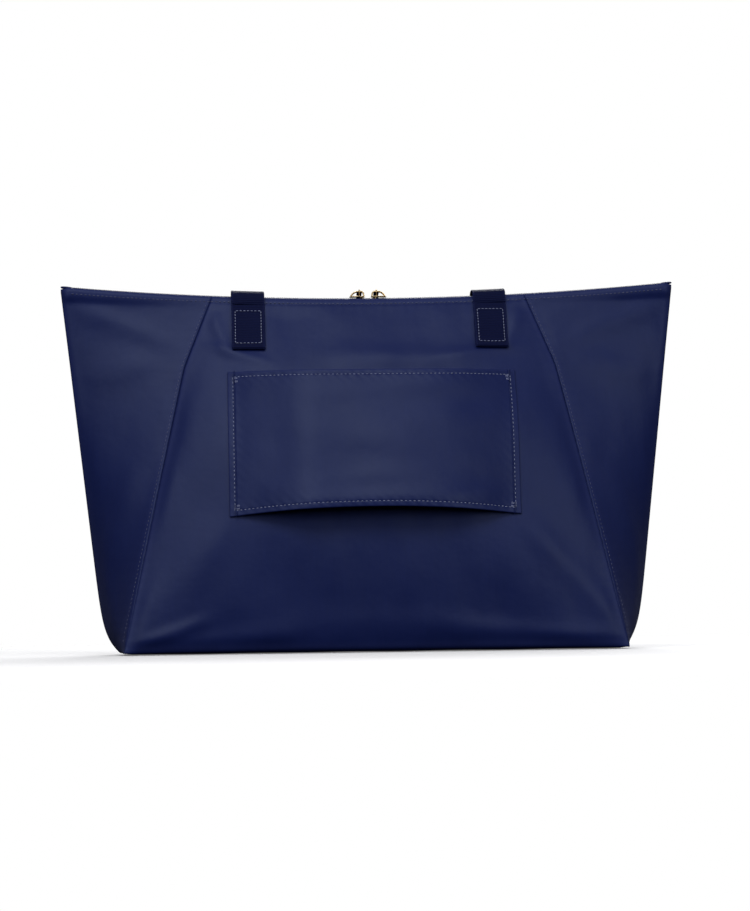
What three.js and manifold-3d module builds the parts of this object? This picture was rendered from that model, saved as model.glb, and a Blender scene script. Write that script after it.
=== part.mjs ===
// A foldable nylon tote bag with a zipped top, a luggage sleeve on its back, two webbing
// handles and a stow pouch inside.
//
// Millimetres. +Z is up and +X is to the right for someone looking at the luggage sleeve,
// which faces -Y. The origin is the middle of the underside of the base.
import * as THREE from 'three';
import { mergeVertices } from 'three/addons/utils/BufferGeometryUtils.js';
import Module from 'manifold-3d';

const manifold = await Module();
manifold.setup();

// The body of the bag.
const FABRIC = 1.6;                   // thickness given to every fabric panel
const TOP_HEIGHT = 306;               // top line at the middle
const ZIP_ARC_RADIUS = 2900;          // the top line sags, so its ends stand higher
const BASE_HALF_WIDTH = 214;
const BASE_HALF_DEPTH = 75;
const TOP_HALF_DEPTH = 7;
const CENTRE_BULGE = 28;              // how far the belly stands out from a straight line
const SEAM_BULGE = 4;
const SEAM_BEND = 0.8;                // the panel seams turn inwards above this height share
const SEAM_HALF_WIDTH_AT_BEND = 160;
const SEAM_HALF_WIDTH_AT_TOP = 136;
const EDGE_HALF_WIDTH = 230.3;        // the side fold, run straight down to the base
const EDGE_SLOPE = 0.1146;
const CORNER_TUCK = 15;               // the fold is tucked in at the bottom corner
const CORNER_HEIGHT = 12;
const FOLD_HALF_GAP = 1.1;
const SEAM_GAP = 1.2;
const BASE_GAP = 2;                   // the panels' lower edge above the underside
const PANEL_TOP_DROP = 2.9;           // below the top line
const GUSSET_TOP_DROP = 4.6;
const PANEL_STEPS = [20, 18];         // cells across and up
const GUSSET_STEPS = [6, 14];
const NORMAL_STEP = 1e-3;             // share of a surface over which its slope is taken
const MERGE_DISTANCE = 1e-4;

// The zip. Heights are measured from the top line.
const TAPE_HALF_LENGTH = 262;
const TAPE_INNER = 1.2;
const TAPE_OVERHANG = 0.3;            // beyond the middle of the panel's top edge
const TAPE_LOW = -1.8;
const TAPE_HIGH = -1.1;
const COIL_HALF_LENGTH = 257;
const COIL_INNER = 0.6;
const COIL_OUTER = 2.6;
const COIL_LOW = -0.8;
const COIL_HIGH = 0.6;
const ZIP_END_START = 258.5;
const ZIP_END_STOP = 266.5;
const ZIP_END_HALF_DEPTH = 3.4;
const ZIP_END_HIGH = 1.2;
const ZIP_STEPS = 48;
const ZIP_END_STEPS = 2;

// The sliders. Lengths along a slider are from its low end.
const SLIDER_INNER_END = 2.2;
const SLIDER_LENGTH = 14.3;
const SLIDER_HALF_DEPTH = 5.2;
const PLATE_LOW = 0.9;
const PLATE_HIGH = 2.1;
const UNDER_PLATE_LOW = -3.4;
const UNDER_PLATE_HIGH = -2.1;
const PLATE_CURVE_STEPS = 6;
const BAIL_CURVE_STEPS = 8;
const PLATE_LOW_END = 0.8;
const PLATE_LOW_HALF_DEPTH = 3.64;
const PLATE_WIDEST = 7.865;
const POST_HALF_DEPTH = 0.25;
const POST_START = 9.3;
const POST_STOP = 12.3;
const PLATE_OVERLAP = 0.2;            // the post and the bail run this far into a plate
const BAIL_HALF_DEPTH = 0.9;
const BAIL_START = [0.9, 1.8];        // the bail's outline: length and height
const BAIL_RISE = [[3, 4.6], [8, 7], [11.9, 7]];
const BAIL_FALL = [[13.3, 7], [13.3, 1.8]];
const WINDOW_FLOOR = [[4.2, 2.1], [11.9, 2.1], [11.7, 5.8]];
const WINDOW_ARCH = [[8.4, 5.8], [5.2, 4.4], [4.2, 2.1]];
const PULL_EYE_FROM_END = 5.2;        // middle of the ribbon, from the slider's inner end
const PULL_EYE_HEIGHT = 5.6;
const PULL_EYE_RADIUS = 1.9;
const PULL_THICKNESS = 0.7;
const PULL_WIDTH = 4.4;
const PULL_CURVE_STEPS = 10;
const PULL_EYE_START = 35;            // degrees round the eye where the tail joins it
const PULL_EYE_STOP = 325;
const PULL_TAIL = [                   // depth and height along the tail
  [3.2, 5.4], [7, 4.2], [11.6, 1], [14.9, -4], [26.1, -23],
];

// The luggage sleeve.
const SLEEVE_HALF_WIDTH = 125;
const SLEEVE_LOW = 118;
const SLEEVE_HIGH = 243;
const SLEEVE_FLAT_HALF_WIDTH = 80;    // held out this far by the poles of a trolley handle
const SLEEVE_DEPTH = 25;
const SLEEVE_LIFT = 2;                // gap between its sewn edge and the panel
const SLEEVE_STEPS = [26, 6];

// The handles.
const STRAP_WIDTH = 28;
const STRAP = 2;                      // thickness of the webbing
const HANDLE_X = 104.5;
const TAB_LOW = 256;
const TAB_HIGH = 299;
const TAB_OFFSET = 2.3;               // from the middle of the panel's fabric
const HANDLE_TOP = 300;               // height on the panel where a draped strap starts
const HANDLE_DROP = 250;              // from the top edge to the inside of the arch
const FRONT_LOOP_OFFSET = 7.8;
const BACK_LOOP_OFFSET = 10.3;
const LOOP_TILT = 6;                  // the arch's inner edge stands out this much further
const TILT_START = 0.08;              // share of the loop's length where it starts to tilt
const PROFILE_STEP = 1;               // along the height, where the panel's profile is measured
const STRAP_STEPS_ACROSS = 2;
const LOOP_STEPS = 56;
const TAB_STEPS = [3, 5];
const BACK_BEND_STEPS = 10;
const FRONT_BEND_STEPS = 8;
// Each bend's line: depth and height from the top of its own tab.
const BACK_BEND = [
  [-1.7, 1.8], [-0.9, 6.2], [2.2, 11.2], [9, 13.5], [17.3, 14.2], [24.2, 13], [28.8, 9.6], [31, 6.1],
];
const FRONT_BEND = [[1.7, 1.8], [1.2, 3.8], [2, 6.1], [4, 7.3], [5.6, 6.4], [6.1, 5.3]];

// The stow pouch on the inside of the back.
const POUCH_HALF_WIDTH = 75;
const POUCH_LOW = 150;
const POUCH_HIGH = 244;
const POUCH_INSET = 7;
const POUCH_STEPS = 8;
const POUCH_TAPE_LOW = 244.6;
const POUCH_TAPE_HIGH = 255;
const POUCH_TAPE_STEPS = 2;
const POUCH_ZIP_LOW = 246;
const POUCH_ZIP_HIGH = 252;
const POUCH_COIL_HALF_LENGTH = 70;
const POUCH_COIL_LOW = 247;
const POUCH_COIL_HIGH = 251;
const POUCH_COIL_BACK = 1;            // its two faces, measured from the pouch's line
const POUCH_COIL_FRONT = 2.2;
const POUCH_SLIDER_X = -60;
const POUCH_SLIDER_LOW = [-4, 2.5, -3.6];
const POUCH_SLIDER_HIGH = [4, 3.9, 3.6];
const LUG_HALF_WIDTH = 0.8;
const LUG_HALF_HEIGHT = 3;
const LUG_START = 3.6;
const LUG_REACH = 7.4;
const LUG_CURVE_STEPS = 5;
const LUG_EYE = 5.6;
const LUG_EYE_RADIUS = 1;
const RING_RADIUS = 2.4;
const RING_WIRE = 1.2;
const RING_STEPS = [8, 16];

const SIDES = [['back', -1], ['front', 1]];
const ENDS = [['left', -1], ['right', 1]];

const material = (color, roughness, metalness = 0) => (
  new THREE.MeshStandardMaterial({ color, roughness, metalness })
);
const nylon = material(0x30385a, 0.5);
const webbing = material(0x0d1638, 0.6);
const tape = material(0x0c1230, 0.7);
const coil = material(0x0a0f28, 0.35);
const gold = material(0xc8b482, 0.25, 1);

const bag = new THREE.Group();

function add(name, geometry, surface, group = bag) {
  const mesh = new THREE.Mesh(geometry, surface);
  mesh.name = name;
  group.add(mesh);
  return mesh;
}

const between = (low, high, share) => low + (high - low) * share;

function signedVolume(geometry) {
  const position = geometry.getAttribute('position');
  const index = geometry.getIndex();
  const corners = [new THREE.Vector3(), new THREE.Vector3(), new THREE.Vector3()];
  let sum = 0;
  for (let i = 0; i < index.count; i += 3) {
    corners.forEach((corner, k) => corner.fromBufferAttribute(position, index.getX(i + k)));
    sum += corners[0].dot(corners[1].cross(corners[2]));
  }
  return sum / 6;
}

// A box of steps[0] by steps[1] cells bent onto a surface: at(s, t, d) is the point at the
// shares s and t of the two sides and at the distance d from the surface.
function bentSheet(at, steps, low, high) {
  const geometry = new THREE.BoxGeometry(1, 1, 1, steps[0], steps[1], 1);
  const position = geometry.getAttribute('position');
  for (let i = 0; i < position.count; i += 1) {
    const distance = position.getZ(i) > 0 ? high : low;
    const point = at(position.getX(i) + 0.5, position.getY(i) + 0.5, distance);
    position.setXYZ(i, point.x, point.y, point.z);
  }
  if (signedVolume(geometry) < 0) {
    geometry.getIndex().array.reverse();
  }
  geometry.computeVertexNormals();
  return geometry;
}

// Turns a surface point(s, t) into at(s, t, d), with d along the normal that has outward's
// direction.
function withNormal(point, outward) {
  return (s, t, d) => {
    const alongS = point(s + NORMAL_STEP, t).sub(point(s - NORMAL_STEP, t));
    const alongT = point(s, t + NORMAL_STEP).sub(point(s, t - NORMAL_STEP));
    const normal = alongS.cross(alongT).normalize();
    if (normal.dot(outward) < 0) {
      normal.negate();
    }
    return point(s, t).addScaledVector(normal, d);
  };
}

const zipHeight = (x) => TOP_HEIGHT + ZIP_ARC_RADIUS - Math.sqrt(ZIP_ARC_RADIUS ** 2 - x ** 2);

function seamHalfWidth(share) {
  if (share < SEAM_BEND) {
    return between(BASE_HALF_WIDTH, SEAM_HALF_WIDTH_AT_BEND, share / SEAM_BEND);
  }
  const above = (share - SEAM_BEND) / (1 - SEAM_BEND);
  return between(SEAM_HALF_WIDTH_AT_BEND, SEAM_HALF_WIDTH_AT_TOP, above);
}

const edgeHalfWidth = (z) => (
  EDGE_HALF_WIDTH + EDGE_SLOPE * z - CORNER_TUCK * Math.exp(-z / CORNER_HEIGHT)
);

// Half of the bag's depth at a share of the height and a share of the panel's half width.
function halfDepth(share, across) {
  const bulge = between(CENTRE_BULGE, SEAM_BULGE, across ** 4);
  const straight = between(BASE_HALF_DEPTH, TOP_HALF_DEPTH, share);
  return straight + 4 * bulge * share * (1 - share);
}

// A point on the middle of the back panel (side -1) or the front panel (side 1).
function panelPoint(side, x, z) {
  const share = z / zipHeight(x);
  return new THREE.Vector3(x, side * halfDepth(share, x / seamHalfWidth(share)), z);
}

// A flat piece laid on a panel between two widths and two heights.
function patchOnPanel(side, xLow, xHigh, zLow, zHigh) {
  const point = (s, t) => panelPoint(side, between(xLow, xHigh, s), between(zLow, zHigh, t));
  return withNormal(point, new THREE.Vector3(0, side, 0));
}

function bodyPanel(side) {
  const lowShare = BASE_GAP / TOP_HEIGHT;
  const point = (s, t) => {
    const share = between(lowShare, 1, t);
    const x = (2 * s - 1) * (seamHalfWidth(share) - SEAM_GAP);
    const z = between(BASE_GAP, zipHeight(x) - PANEL_TOP_DROP, t);
    return panelPoint(side, x, z);
  };
  const at = withNormal(point, new THREE.Vector3(0, side, 0));
  return bentSheet(at, PANEL_STEPS, -FABRIC / 2, FABRIC / 2);
}

// Half of a side gusset, from the panel's seam to the fold down the middle of the side.
function gussetHalf(end, side) {
  const point = (s, t) => {
    const share = between(BASE_GAP / TOP_HEIGHT, 1, t);
    const seam = new THREE.Vector2(seamHalfWidth(share), halfDepth(share, 1));
    const fold = new THREE.Vector2(edgeHalfWidth(share * TOP_HEIGHT), FOLD_HALF_GAP);
    const along = fold.clone().sub(seam);
    const start = (2 * SEAM_GAP) / along.length();
    seam.addScaledVector(along, between(start, 1, s));
    const z = between(BASE_GAP, zipHeight(seam.x) - GUSSET_TOP_DROP, t);
    return new THREE.Vector3(end * seam.x, side * seam.y, z);
  };
  const at = withNormal(point, new THREE.Vector3(end, side, 0));
  return bentSheet(at, GUSSET_STEPS, -FABRIC / 2, FABRIC / 2);
}

// A strip that follows the top line between two x, with its two edges' y and its heights
// above the top line.
function stripOnZip(xLow, xHigh, innerY, outerY, low, high, steps) {
  const at = (s, t, d) => {
    const x = between(xLow, xHigh, s);
    return new THREE.Vector3(x, between(innerY(x), outerY(x), t), zipHeight(x) + d);
  };
  return bentSheet(at, [steps, 1], low, high);
}

// Depth of the fabric's top edge: it closes in from the seam to the end of the zip.
function topEdgeY(x) {
  const beyond = (Math.abs(x) - SEAM_HALF_WIDTH_AT_TOP) / (TAPE_HALF_LENGTH - SEAM_HALF_WIDTH_AT_TOP);
  return between(TOP_HALF_DEPTH, FOLD_HALF_GAP, Math.max(0, beyond));
}

function solid(geometry) {
  const bare = geometry.clone();
  bare.deleteAttribute('normal');
  bare.deleteAttribute('uv');
  const merged = mergeVertices(bare, MERGE_DISTANCE);
  return new manifold.Manifold(new manifold.Mesh({
    numProp: 3,
    vertProperties: merged.getAttribute('position').array,
    triVerts: new Uint32Array(merged.getIndex().array),
  }));
}

function geometryOf(body) {
  const mesh = body.getMesh();
  const geometry = new THREE.BufferGeometry();
  geometry.setAttribute('position', new THREE.BufferAttribute(mesh.vertProperties, 3));
  geometry.setIndex(new THREE.BufferAttribute(mesh.triVerts, 1));
  geometry.computeVertexNormals();
  return geometry;
}

function boxBetween(low, high) {
  const size = high.clone().sub(low);
  const geometry = new THREE.BoxGeometry(size.x, size.y, size.z);
  const middle = low.clone().add(high).multiplyScalar(0.5);
  return geometry.translate(middle.x, middle.y, middle.z);
}

// Extrudes an outline drawn in X and Z towards +Y, between two y.
function extrudedAlongY(shape, yLow, yHigh, curveSegments) {
  const geometry = new THREE.ExtrudeGeometry(shape, {
    depth: yHigh - yLow,
    bevelEnabled: false,
    curveSegments,
  });
  geometry.rotateX(Math.PI / 2);
  geometry.translate(0, yHigh, 0);
  return geometry;
}

// A slider with its low end at x = 0 and its nose at x = SLIDER_LENGTH. z = 0 is the top
// line. The two plates hold the coils, the post parts them, and the bail carries the pull.
function sliderGeometry() {
  const plate = new THREE.Shape();
  plate.moveTo(PLATE_LOW_END, -PLATE_LOW_HALF_DEPTH);
  plate.lineTo(PLATE_WIDEST, -SLIDER_HALF_DEPTH);
  plate.quadraticCurveTo(SLIDER_LENGTH, -SLIDER_HALF_DEPTH, SLIDER_LENGTH, 0);
  plate.quadraticCurveTo(SLIDER_LENGTH, SLIDER_HALF_DEPTH, PLATE_WIDEST, SLIDER_HALF_DEPTH);
  plate.lineTo(PLATE_LOW_END, PLATE_LOW_HALF_DEPTH);
  plate.quadraticCurveTo(0, 0, PLATE_LOW_END, -PLATE_LOW_HALF_DEPTH);
  const plateBetween = (low, high) => {
    const geometry = new THREE.ExtrudeGeometry(plate, {
      depth: high - low,
      bevelEnabled: false,
      curveSegments: PLATE_CURVE_STEPS,
    });
    return geometry.translate(0, 0, low);
  };
  const post = boxBetween(
    new THREE.Vector3(POST_START, -POST_HALF_DEPTH, UNDER_PLATE_LOW + PLATE_OVERLAP),
    new THREE.Vector3(POST_STOP, POST_HALF_DEPTH, PLATE_HIGH - PLATE_OVERLAP),
  );
  const bail = new THREE.Shape();
  bail.moveTo(...BAIL_START);
  bail.bezierCurveTo(...BAIL_RISE.flat());
  bail.quadraticCurveTo(...BAIL_FALL.flat());
  const opening = new THREE.Path();
  opening.moveTo(...WINDOW_FLOOR[0]);
  opening.lineTo(...WINDOW_FLOOR[1]);
  opening.lineTo(...WINDOW_FLOOR[2]);
  opening.bezierCurveTo(...WINDOW_ARCH.flat());
  bail.holes.push(opening);
  return geometryOf(
    solid(plateBetween(PLATE_LOW, PLATE_HIGH))
      .add(solid(plateBetween(UNDER_PLATE_LOW, UNDER_PLATE_HIGH)))
      .add(solid(post))
      .add(solid(extrudedAlongY(bail, -BAIL_HALF_DEPTH, BAIL_HALF_DEPTH, BAIL_CURVE_STEPS))),
  );
}

// Extrudes an outline drawn in Y (the shape's x) and Z (the shape's y) along X.
function extrudedAlongX(shape, xLow, xHigh, curveSegments) {
  const geometry = new THREE.ExtrudeGeometry(shape, {
    depth: xHigh - xLow,
    bevelEnabled: false,
    curveSegments,
  });
  const axes = new THREE.Matrix4().makeBasis(
    new THREE.Vector3(0, 1, 0),
    new THREE.Vector3(0, 0, 1),
    new THREE.Vector3(1, 0, 0),
  );
  geometry.applyMatrix4(axes);
  return geometry.translate(xLow, 0, 0);
}

// A ribbon looped round the bail's bar at y = 0, its doubled tail hanging over the front
// edge.
function ribbonPull() {
  const middle = PULL_TAIL.map(([y, z]) => new THREE.Vector2(y, z));
  const upper = [];
  const lower = [];
  middle.forEach((point, i) => {
    const before = middle[Math.max(0, i - 1)];
    const after = middle[Math.min(middle.length - 1, i + 1)];
    const across = after.clone().sub(before).normalize().multiplyScalar(PULL_THICKNESS);
    upper.push(new THREE.Vector2(point.x - across.y, point.y + across.x));
    lower.push(new THREE.Vector2(point.x + across.y, point.y - across.x));
  });
  const shape = new THREE.Shape();
  const start = THREE.MathUtils.degToRad(PULL_EYE_START);
  const stop = THREE.MathUtils.degToRad(PULL_EYE_STOP);
  shape.absarc(0, PULL_EYE_HEIGHT, PULL_EYE_RADIUS + PULL_THICKNESS, start, stop, false);
  lower.forEach((point) => shape.lineTo(point.x, point.y));
  upper.reverse().forEach((point) => shape.lineTo(point.x, point.y));
  const eye = new THREE.Path();
  eye.absarc(0, PULL_EYE_HEIGHT, PULL_EYE_RADIUS, 0, 2 * Math.PI, true);
  shape.holes.push(eye);
  return extrudedAlongX(shape, -PULL_WIDTH / 2, PULL_WIDTH / 2, PULL_CURVE_STEPS);
}

// A strap that follows a line drawn in Y and Z, as wide as the webbing, about x = middleX.
function strapAlong(line, middleX, steps) {
  const point = (s, t) => {
    const place = line.getPoint(THREE.MathUtils.clamp(t, 0, 1));
    const x = middleX + (s - 0.5) * STRAP_WIDTH;
    return new THREE.Vector3(x, place.x, place.y + zipHeight(x) - zipHeight(middleX));
  };
  const at = (s, t, d) => {
    const tangent = line.getTangent(t);
    return point(s, t).add(new THREE.Vector3(0, -tangent.y * d, tangent.x * d));
  };
  return bentSheet(at, [STRAP_STEPS_ACROSS, steps], -STRAP / 2, STRAP / 2);
}

// Heights on the front panel by the length along its middle profile, from HANDLE_TOP down.
const profile = [];
for (let z = HANDLE_TOP, length = 0; z > BASE_GAP; z -= PROFILE_STEP) {
  profile.push({ length, z });
  length += panelPoint(1, HANDLE_X, z).distanceTo(panelPoint(1, HANDLE_X, z - PROFILE_STEP));
}

function heightAtLength(length) {
  const next = Math.max(1, profile.findIndex((entry) => entry.length >= length));
  const above = profile[next - 1];
  const below = profile[next];
  return between(above.z, below.z, (length - above.length) / (below.length - above.length));
}

// The free part of a handle, draped over the front: two legs joined by a half-round arch.
function handleLoop(offset) {
  const legLength = HANDLE_DROP - HANDLE_X + STRAP_WIDTH / 2;
  const archLength = Math.PI * HANDLE_X;
  const total = 2 * legLength + archLength;
  const point = (s, t) => {
    const run = THREE.MathUtils.clamp(t, 0, 1) * total;
    const inset = (s - 0.5) * STRAP_WIDTH;
    if (run <= legLength) {
      return panelPoint(1, -HANDLE_X + inset, heightAtLength(run));
    }
    if (run >= legLength + archLength) {
      return panelPoint(1, HANDLE_X - inset, heightAtLength(total - run));
    }
    const angle = (run - legLength) / HANDLE_X;
    const radius = HANDLE_X - inset;
    return panelPoint(1, -radius * Math.cos(angle), heightAtLength(legLength + radius * Math.sin(angle)));
  };
  const at = (s, t, d) => {
    const place = point(s, t);
    const patch = patchOnPanel(1, place.x - 1, place.x + 1, place.z - 1, place.z + 1);
    const tilt = THREE.MathUtils.smoothstep(Math.min(t, 1 - t), TILT_START, 0.5);
    return patch(0.5, 0.5, offset + d + LOOP_TILT * tilt * s);
  };
  return bentSheet(at, [STRAP_STEPS_ACROSS, LOOP_STEPS], -STRAP / 2, STRAP / 2);
}

const line = (points) => new THREE.CatmullRomCurve3(
  points.map(([y, z]) => new THREE.Vector3(y, z, 0)),
  false,
  'centripetal',
);

// The base and the body.
add('base_panel', boxBetween(
  new THREE.Vector3(-BASE_HALF_WIDTH, -BASE_HALF_DEPTH, 0),
  new THREE.Vector3(BASE_HALF_WIDTH, BASE_HALF_DEPTH, FABRIC),
), nylon);
add('back_panel', bodyPanel(-1), nylon);
add('front_panel', bodyPanel(1), nylon);
for (const [endName, end] of ENDS) {
  for (const [sideName, side] of SIDES) {
    add(`${endName}_gusset_${sideName}`, gussetHalf(end, side), nylon);
  }
}

// The zip: a tape and a coil on each side, and a folded tab over each end.
for (const [sideName, side] of SIDES) {
  add(`${sideName}_zip_tape`, stripOnZip(
    -TAPE_HALF_LENGTH,
    TAPE_HALF_LENGTH,
    () => side * TAPE_INNER,
    (x) => side * (topEdgeY(x) + TAPE_OVERHANG),
    TAPE_LOW,
    TAPE_HIGH,
    ZIP_STEPS,
  ), tape);
  add(`${sideName}_zip_coil`, stripOnZip(
    -COIL_HALF_LENGTH,
    COIL_HALF_LENGTH,
    () => side * COIL_INNER,
    () => side * COIL_OUTER,
    COIL_LOW,
    COIL_HIGH,
    ZIP_STEPS,
  ), coil);
}
for (const [endName, end] of ENDS) {
  add(`${endName}_zip_end`, stripOnZip(
    end * ZIP_END_START,
    end * ZIP_END_STOP,
    () => -ZIP_END_HALF_DEPTH,
    () => ZIP_END_HALF_DEPTH,
    COIL_LOW,
    ZIP_END_HIGH,
    ZIP_END_STEPS,
  ), nylon);
}

// The two sliders meet nose to nose at the middle, each with a ribbon pull.
for (const [endName, end] of ENDS) {
  const group = new THREE.Group();
  const middleX = SLIDER_INNER_END + SLIDER_LENGTH / 2;
  group.position.set(end * middleX, 0, zipHeight(middleX));
  group.rotation.y = -end * Math.asin(middleX / ZIP_ARC_RADIUS);
  bag.add(group);
  const slider = add(`${endName}_zip_slider`, sliderGeometry(), gold, group);
  slider.rotation.z = end > 0 ? Math.PI : 0;
  slider.position.x = end * SLIDER_LENGTH / 2;
  const pull = add(`${endName}_zip_pull`, ribbonPull(), webbing, group);
  pull.position.x = end * (PULL_EYE_FROM_END - SLIDER_LENGTH / 2);
}

// The luggage sleeve, open at the top and the bottom, sewn down its two sides.
const sleevePatch = patchOnPanel(-1, -SLEEVE_HALF_WIDTH, SLEEVE_HALF_WIDTH, SLEEVE_LOW, SLEEVE_HIGH);
add('luggage_sleeve', bentSheet((s, t, d) => {
  const fromEdge = (SLEEVE_HALF_WIDTH - Math.abs(2 * s - 1) * SLEEVE_HALF_WIDTH)
    / (SLEEVE_HALF_WIDTH - SLEEVE_FLAT_HALF_WIDTH);
  const place = sleevePatch(s, t, d + SLEEVE_LIFT);
  place.y -= (SLEEVE_DEPTH - SLEEVE_LIFT) * THREE.MathUtils.smoothstep(fromEdge, 0, 1);
  return place;
}, SLEEVE_STEPS, -FABRIC / 2, FABRIC / 2), nylon);

// The handles: a sewn tab and a bend at each end, and one free loop. Both loops hang down
// the front, the back handle's over the front handle's.
const tabTop = panelPoint(1, HANDLE_X, TAB_HIGH);
const backBend = line(BACK_BEND.map(([y, z]) => [y - tabTop.y, z + tabTop.z]));
const frontBend = line(FRONT_BEND.map(([y, z]) => [y + tabTop.y, z + tabTop.z]));
for (const [endName, end] of ENDS) {
  const x = end * HANDLE_X;
  for (const [sideName, side] of SIDES) {
    const patch = patchOnPanel(side, x - STRAP_WIDTH / 2, x + STRAP_WIDTH / 2, TAB_LOW, TAB_HIGH);
    const sewn = (s, t, d) => patch(s, t, d + TAB_OFFSET);
    add(`${sideName}_${endName}_handle_tab`, bentSheet(sewn, TAB_STEPS, -STRAP / 2, STRAP / 2), webbing);
  }
  add(`back_${endName}_handle_bend`, strapAlong(backBend, x, BACK_BEND_STEPS), webbing);
  add(`front_${endName}_handle_bend`, strapAlong(frontBend, x, FRONT_BEND_STEPS), webbing);
}
add('back_handle_loop', handleLoop(BACK_LOOP_OFFSET), webbing);
add('front_handle_loop', handleLoop(FRONT_LOOP_OFFSET), webbing);

// The stow pouch: a flat pocket inside the back, with a short zip along its top.
const pouchPoint = (x, z) => {
  const middle = panelPoint(-1, 0, z);
  return new THREE.Vector3(x, middle.y + POUCH_INSET, z);
};
function pouchPiece(halfWidth, zLow, zHigh, low, high, steps) {
  const point = (s, t) => pouchPoint(between(-halfWidth, halfWidth, s), between(zLow, zHigh, t));
  return bentSheet(withNormal(point, new THREE.Vector3(0, 1, 0)), [1, steps], low, high);
}
add('stow_pouch', pouchPiece(
  POUCH_HALF_WIDTH,
  POUCH_LOW,
  POUCH_HIGH,
  0,
  FABRIC,
  POUCH_STEPS,
), nylon);
add('stow_zip_tape', pouchPiece(
  POUCH_HALF_WIDTH,
  POUCH_TAPE_LOW,
  POUCH_TAPE_HIGH,
  0,
  TAPE_HIGH - TAPE_LOW,
  POUCH_TAPE_STEPS,
), tape);
add('stow_zip_coil', pouchPiece(
  POUCH_COIL_HALF_LENGTH,
  POUCH_COIL_LOW,
  POUCH_COIL_HIGH,
  POUCH_COIL_BACK,
  POUCH_COIL_FRONT,
  1,
), coil);
const pouchZipMiddle = pouchPoint(POUCH_SLIDER_X, (POUCH_ZIP_LOW + POUCH_ZIP_HIGH) / 2);
const pouchSlider = new THREE.Group();
pouchSlider.position.copy(pouchZipMiddle);
pouchSlider.rotation.x = -Math.atan2(
  panelPoint(-1, 0, POUCH_ZIP_HIGH).y - panelPoint(-1, 0, POUCH_ZIP_LOW).y,
  POUCH_ZIP_HIGH - POUCH_ZIP_LOW,
);
bag.add(pouchSlider);
const lug = new THREE.Shape();
lug.moveTo(LUG_START, LUG_HALF_HEIGHT);
lug.lineTo(LUG_START, -LUG_HALF_HEIGHT);
lug.quadraticCurveTo(LUG_REACH, -LUG_HALF_HEIGHT, LUG_REACH, 0);
lug.quadraticCurveTo(LUG_REACH, LUG_HALF_HEIGHT, LUG_START, LUG_HALF_HEIGHT);
const lugHole = new THREE.Path();
lugHole.absarc(LUG_EYE, 0, LUG_EYE_RADIUS, 0, 2 * Math.PI, true);
lug.holes.push(lugHole);
add('stow_zip_slider', geometryOf(
  solid(boxBetween(new THREE.Vector3(...POUCH_SLIDER_LOW), new THREE.Vector3(...POUCH_SLIDER_HIGH)))
    .add(solid(extrudedAlongX(lug, -LUG_HALF_WIDTH, LUG_HALF_WIDTH, LUG_CURVE_STEPS))),
), gold, pouchSlider);
const ring = new THREE.TorusGeometry(RING_RADIUS, RING_WIRE / 2, ...RING_STEPS);
ring.translate(0, RING_RADIUS, 0);
const ringMesh = add('stow_zip_ring', ring, gold, pouchSlider);
ringMesh.position.y = LUG_EYE;
ringMesh.rotation.x = -Math.PI / 2 - pouchSlider.rotation.x;

export default bag;
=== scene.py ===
"""The looks of a foldable nylon tote bag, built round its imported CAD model.

Shapes are worked out in millimetres, in the CAD model's frame, and become metres when a mesh
is made. +Z is up, and the luggage sleeve faces -Y.
"""

import math

import bpy
import numpy as np
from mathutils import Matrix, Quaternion, Vector


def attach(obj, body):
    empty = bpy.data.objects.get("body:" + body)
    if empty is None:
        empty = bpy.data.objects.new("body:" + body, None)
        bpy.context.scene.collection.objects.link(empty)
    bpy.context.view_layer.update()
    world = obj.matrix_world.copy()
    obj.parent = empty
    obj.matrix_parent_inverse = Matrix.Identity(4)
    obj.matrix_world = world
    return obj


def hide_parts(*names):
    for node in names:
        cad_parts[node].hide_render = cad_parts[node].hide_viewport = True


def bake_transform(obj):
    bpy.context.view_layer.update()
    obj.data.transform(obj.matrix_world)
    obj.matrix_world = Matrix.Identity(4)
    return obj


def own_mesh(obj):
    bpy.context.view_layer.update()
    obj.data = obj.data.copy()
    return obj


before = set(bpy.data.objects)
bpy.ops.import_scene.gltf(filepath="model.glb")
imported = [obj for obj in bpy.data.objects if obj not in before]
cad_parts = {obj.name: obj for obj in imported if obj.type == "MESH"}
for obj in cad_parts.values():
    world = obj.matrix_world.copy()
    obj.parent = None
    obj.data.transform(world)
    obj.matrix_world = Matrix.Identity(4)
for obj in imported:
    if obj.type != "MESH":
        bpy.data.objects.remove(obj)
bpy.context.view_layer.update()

MM = 0.001
BACK, FRONT = -1, 1
SIDES = {"back": BACK, "front": FRONT}
ENDS = {"left": -1, "right": 1}

# The body of the bag, as the CAD model has it.
TOP_HEIGHT = 306
ZIP_ARC_RADIUS = 2900
BASE_HALF_WIDTH = 214
BASE_HALF_DEPTH = 75
TOP_HALF_DEPTH = 7
CENTRE_BULGE = 28
SEAM_BULGE = 4
SEAM_BEND = 0.8
SEAM_HALF_WIDTH_AT_BEND = 160
SEAM_HALF_WIDTH_AT_TOP = 136
EDGE_HALF_WIDTH = 230.3
EDGE_SLOPE = 0.1146
CORNER_TUCK = 15
CORNER_HEIGHT = 12
BASE_GAP = 2
BASE_ROLL = 15
BASE_DIP = 3.6
BASE_SETTLE = 12
PANEL_TOP_DROP = 2.9
PANEL_HEIGHT = TOP_HEIGHT - PANEL_TOP_DROP - BASE_GAP

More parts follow.
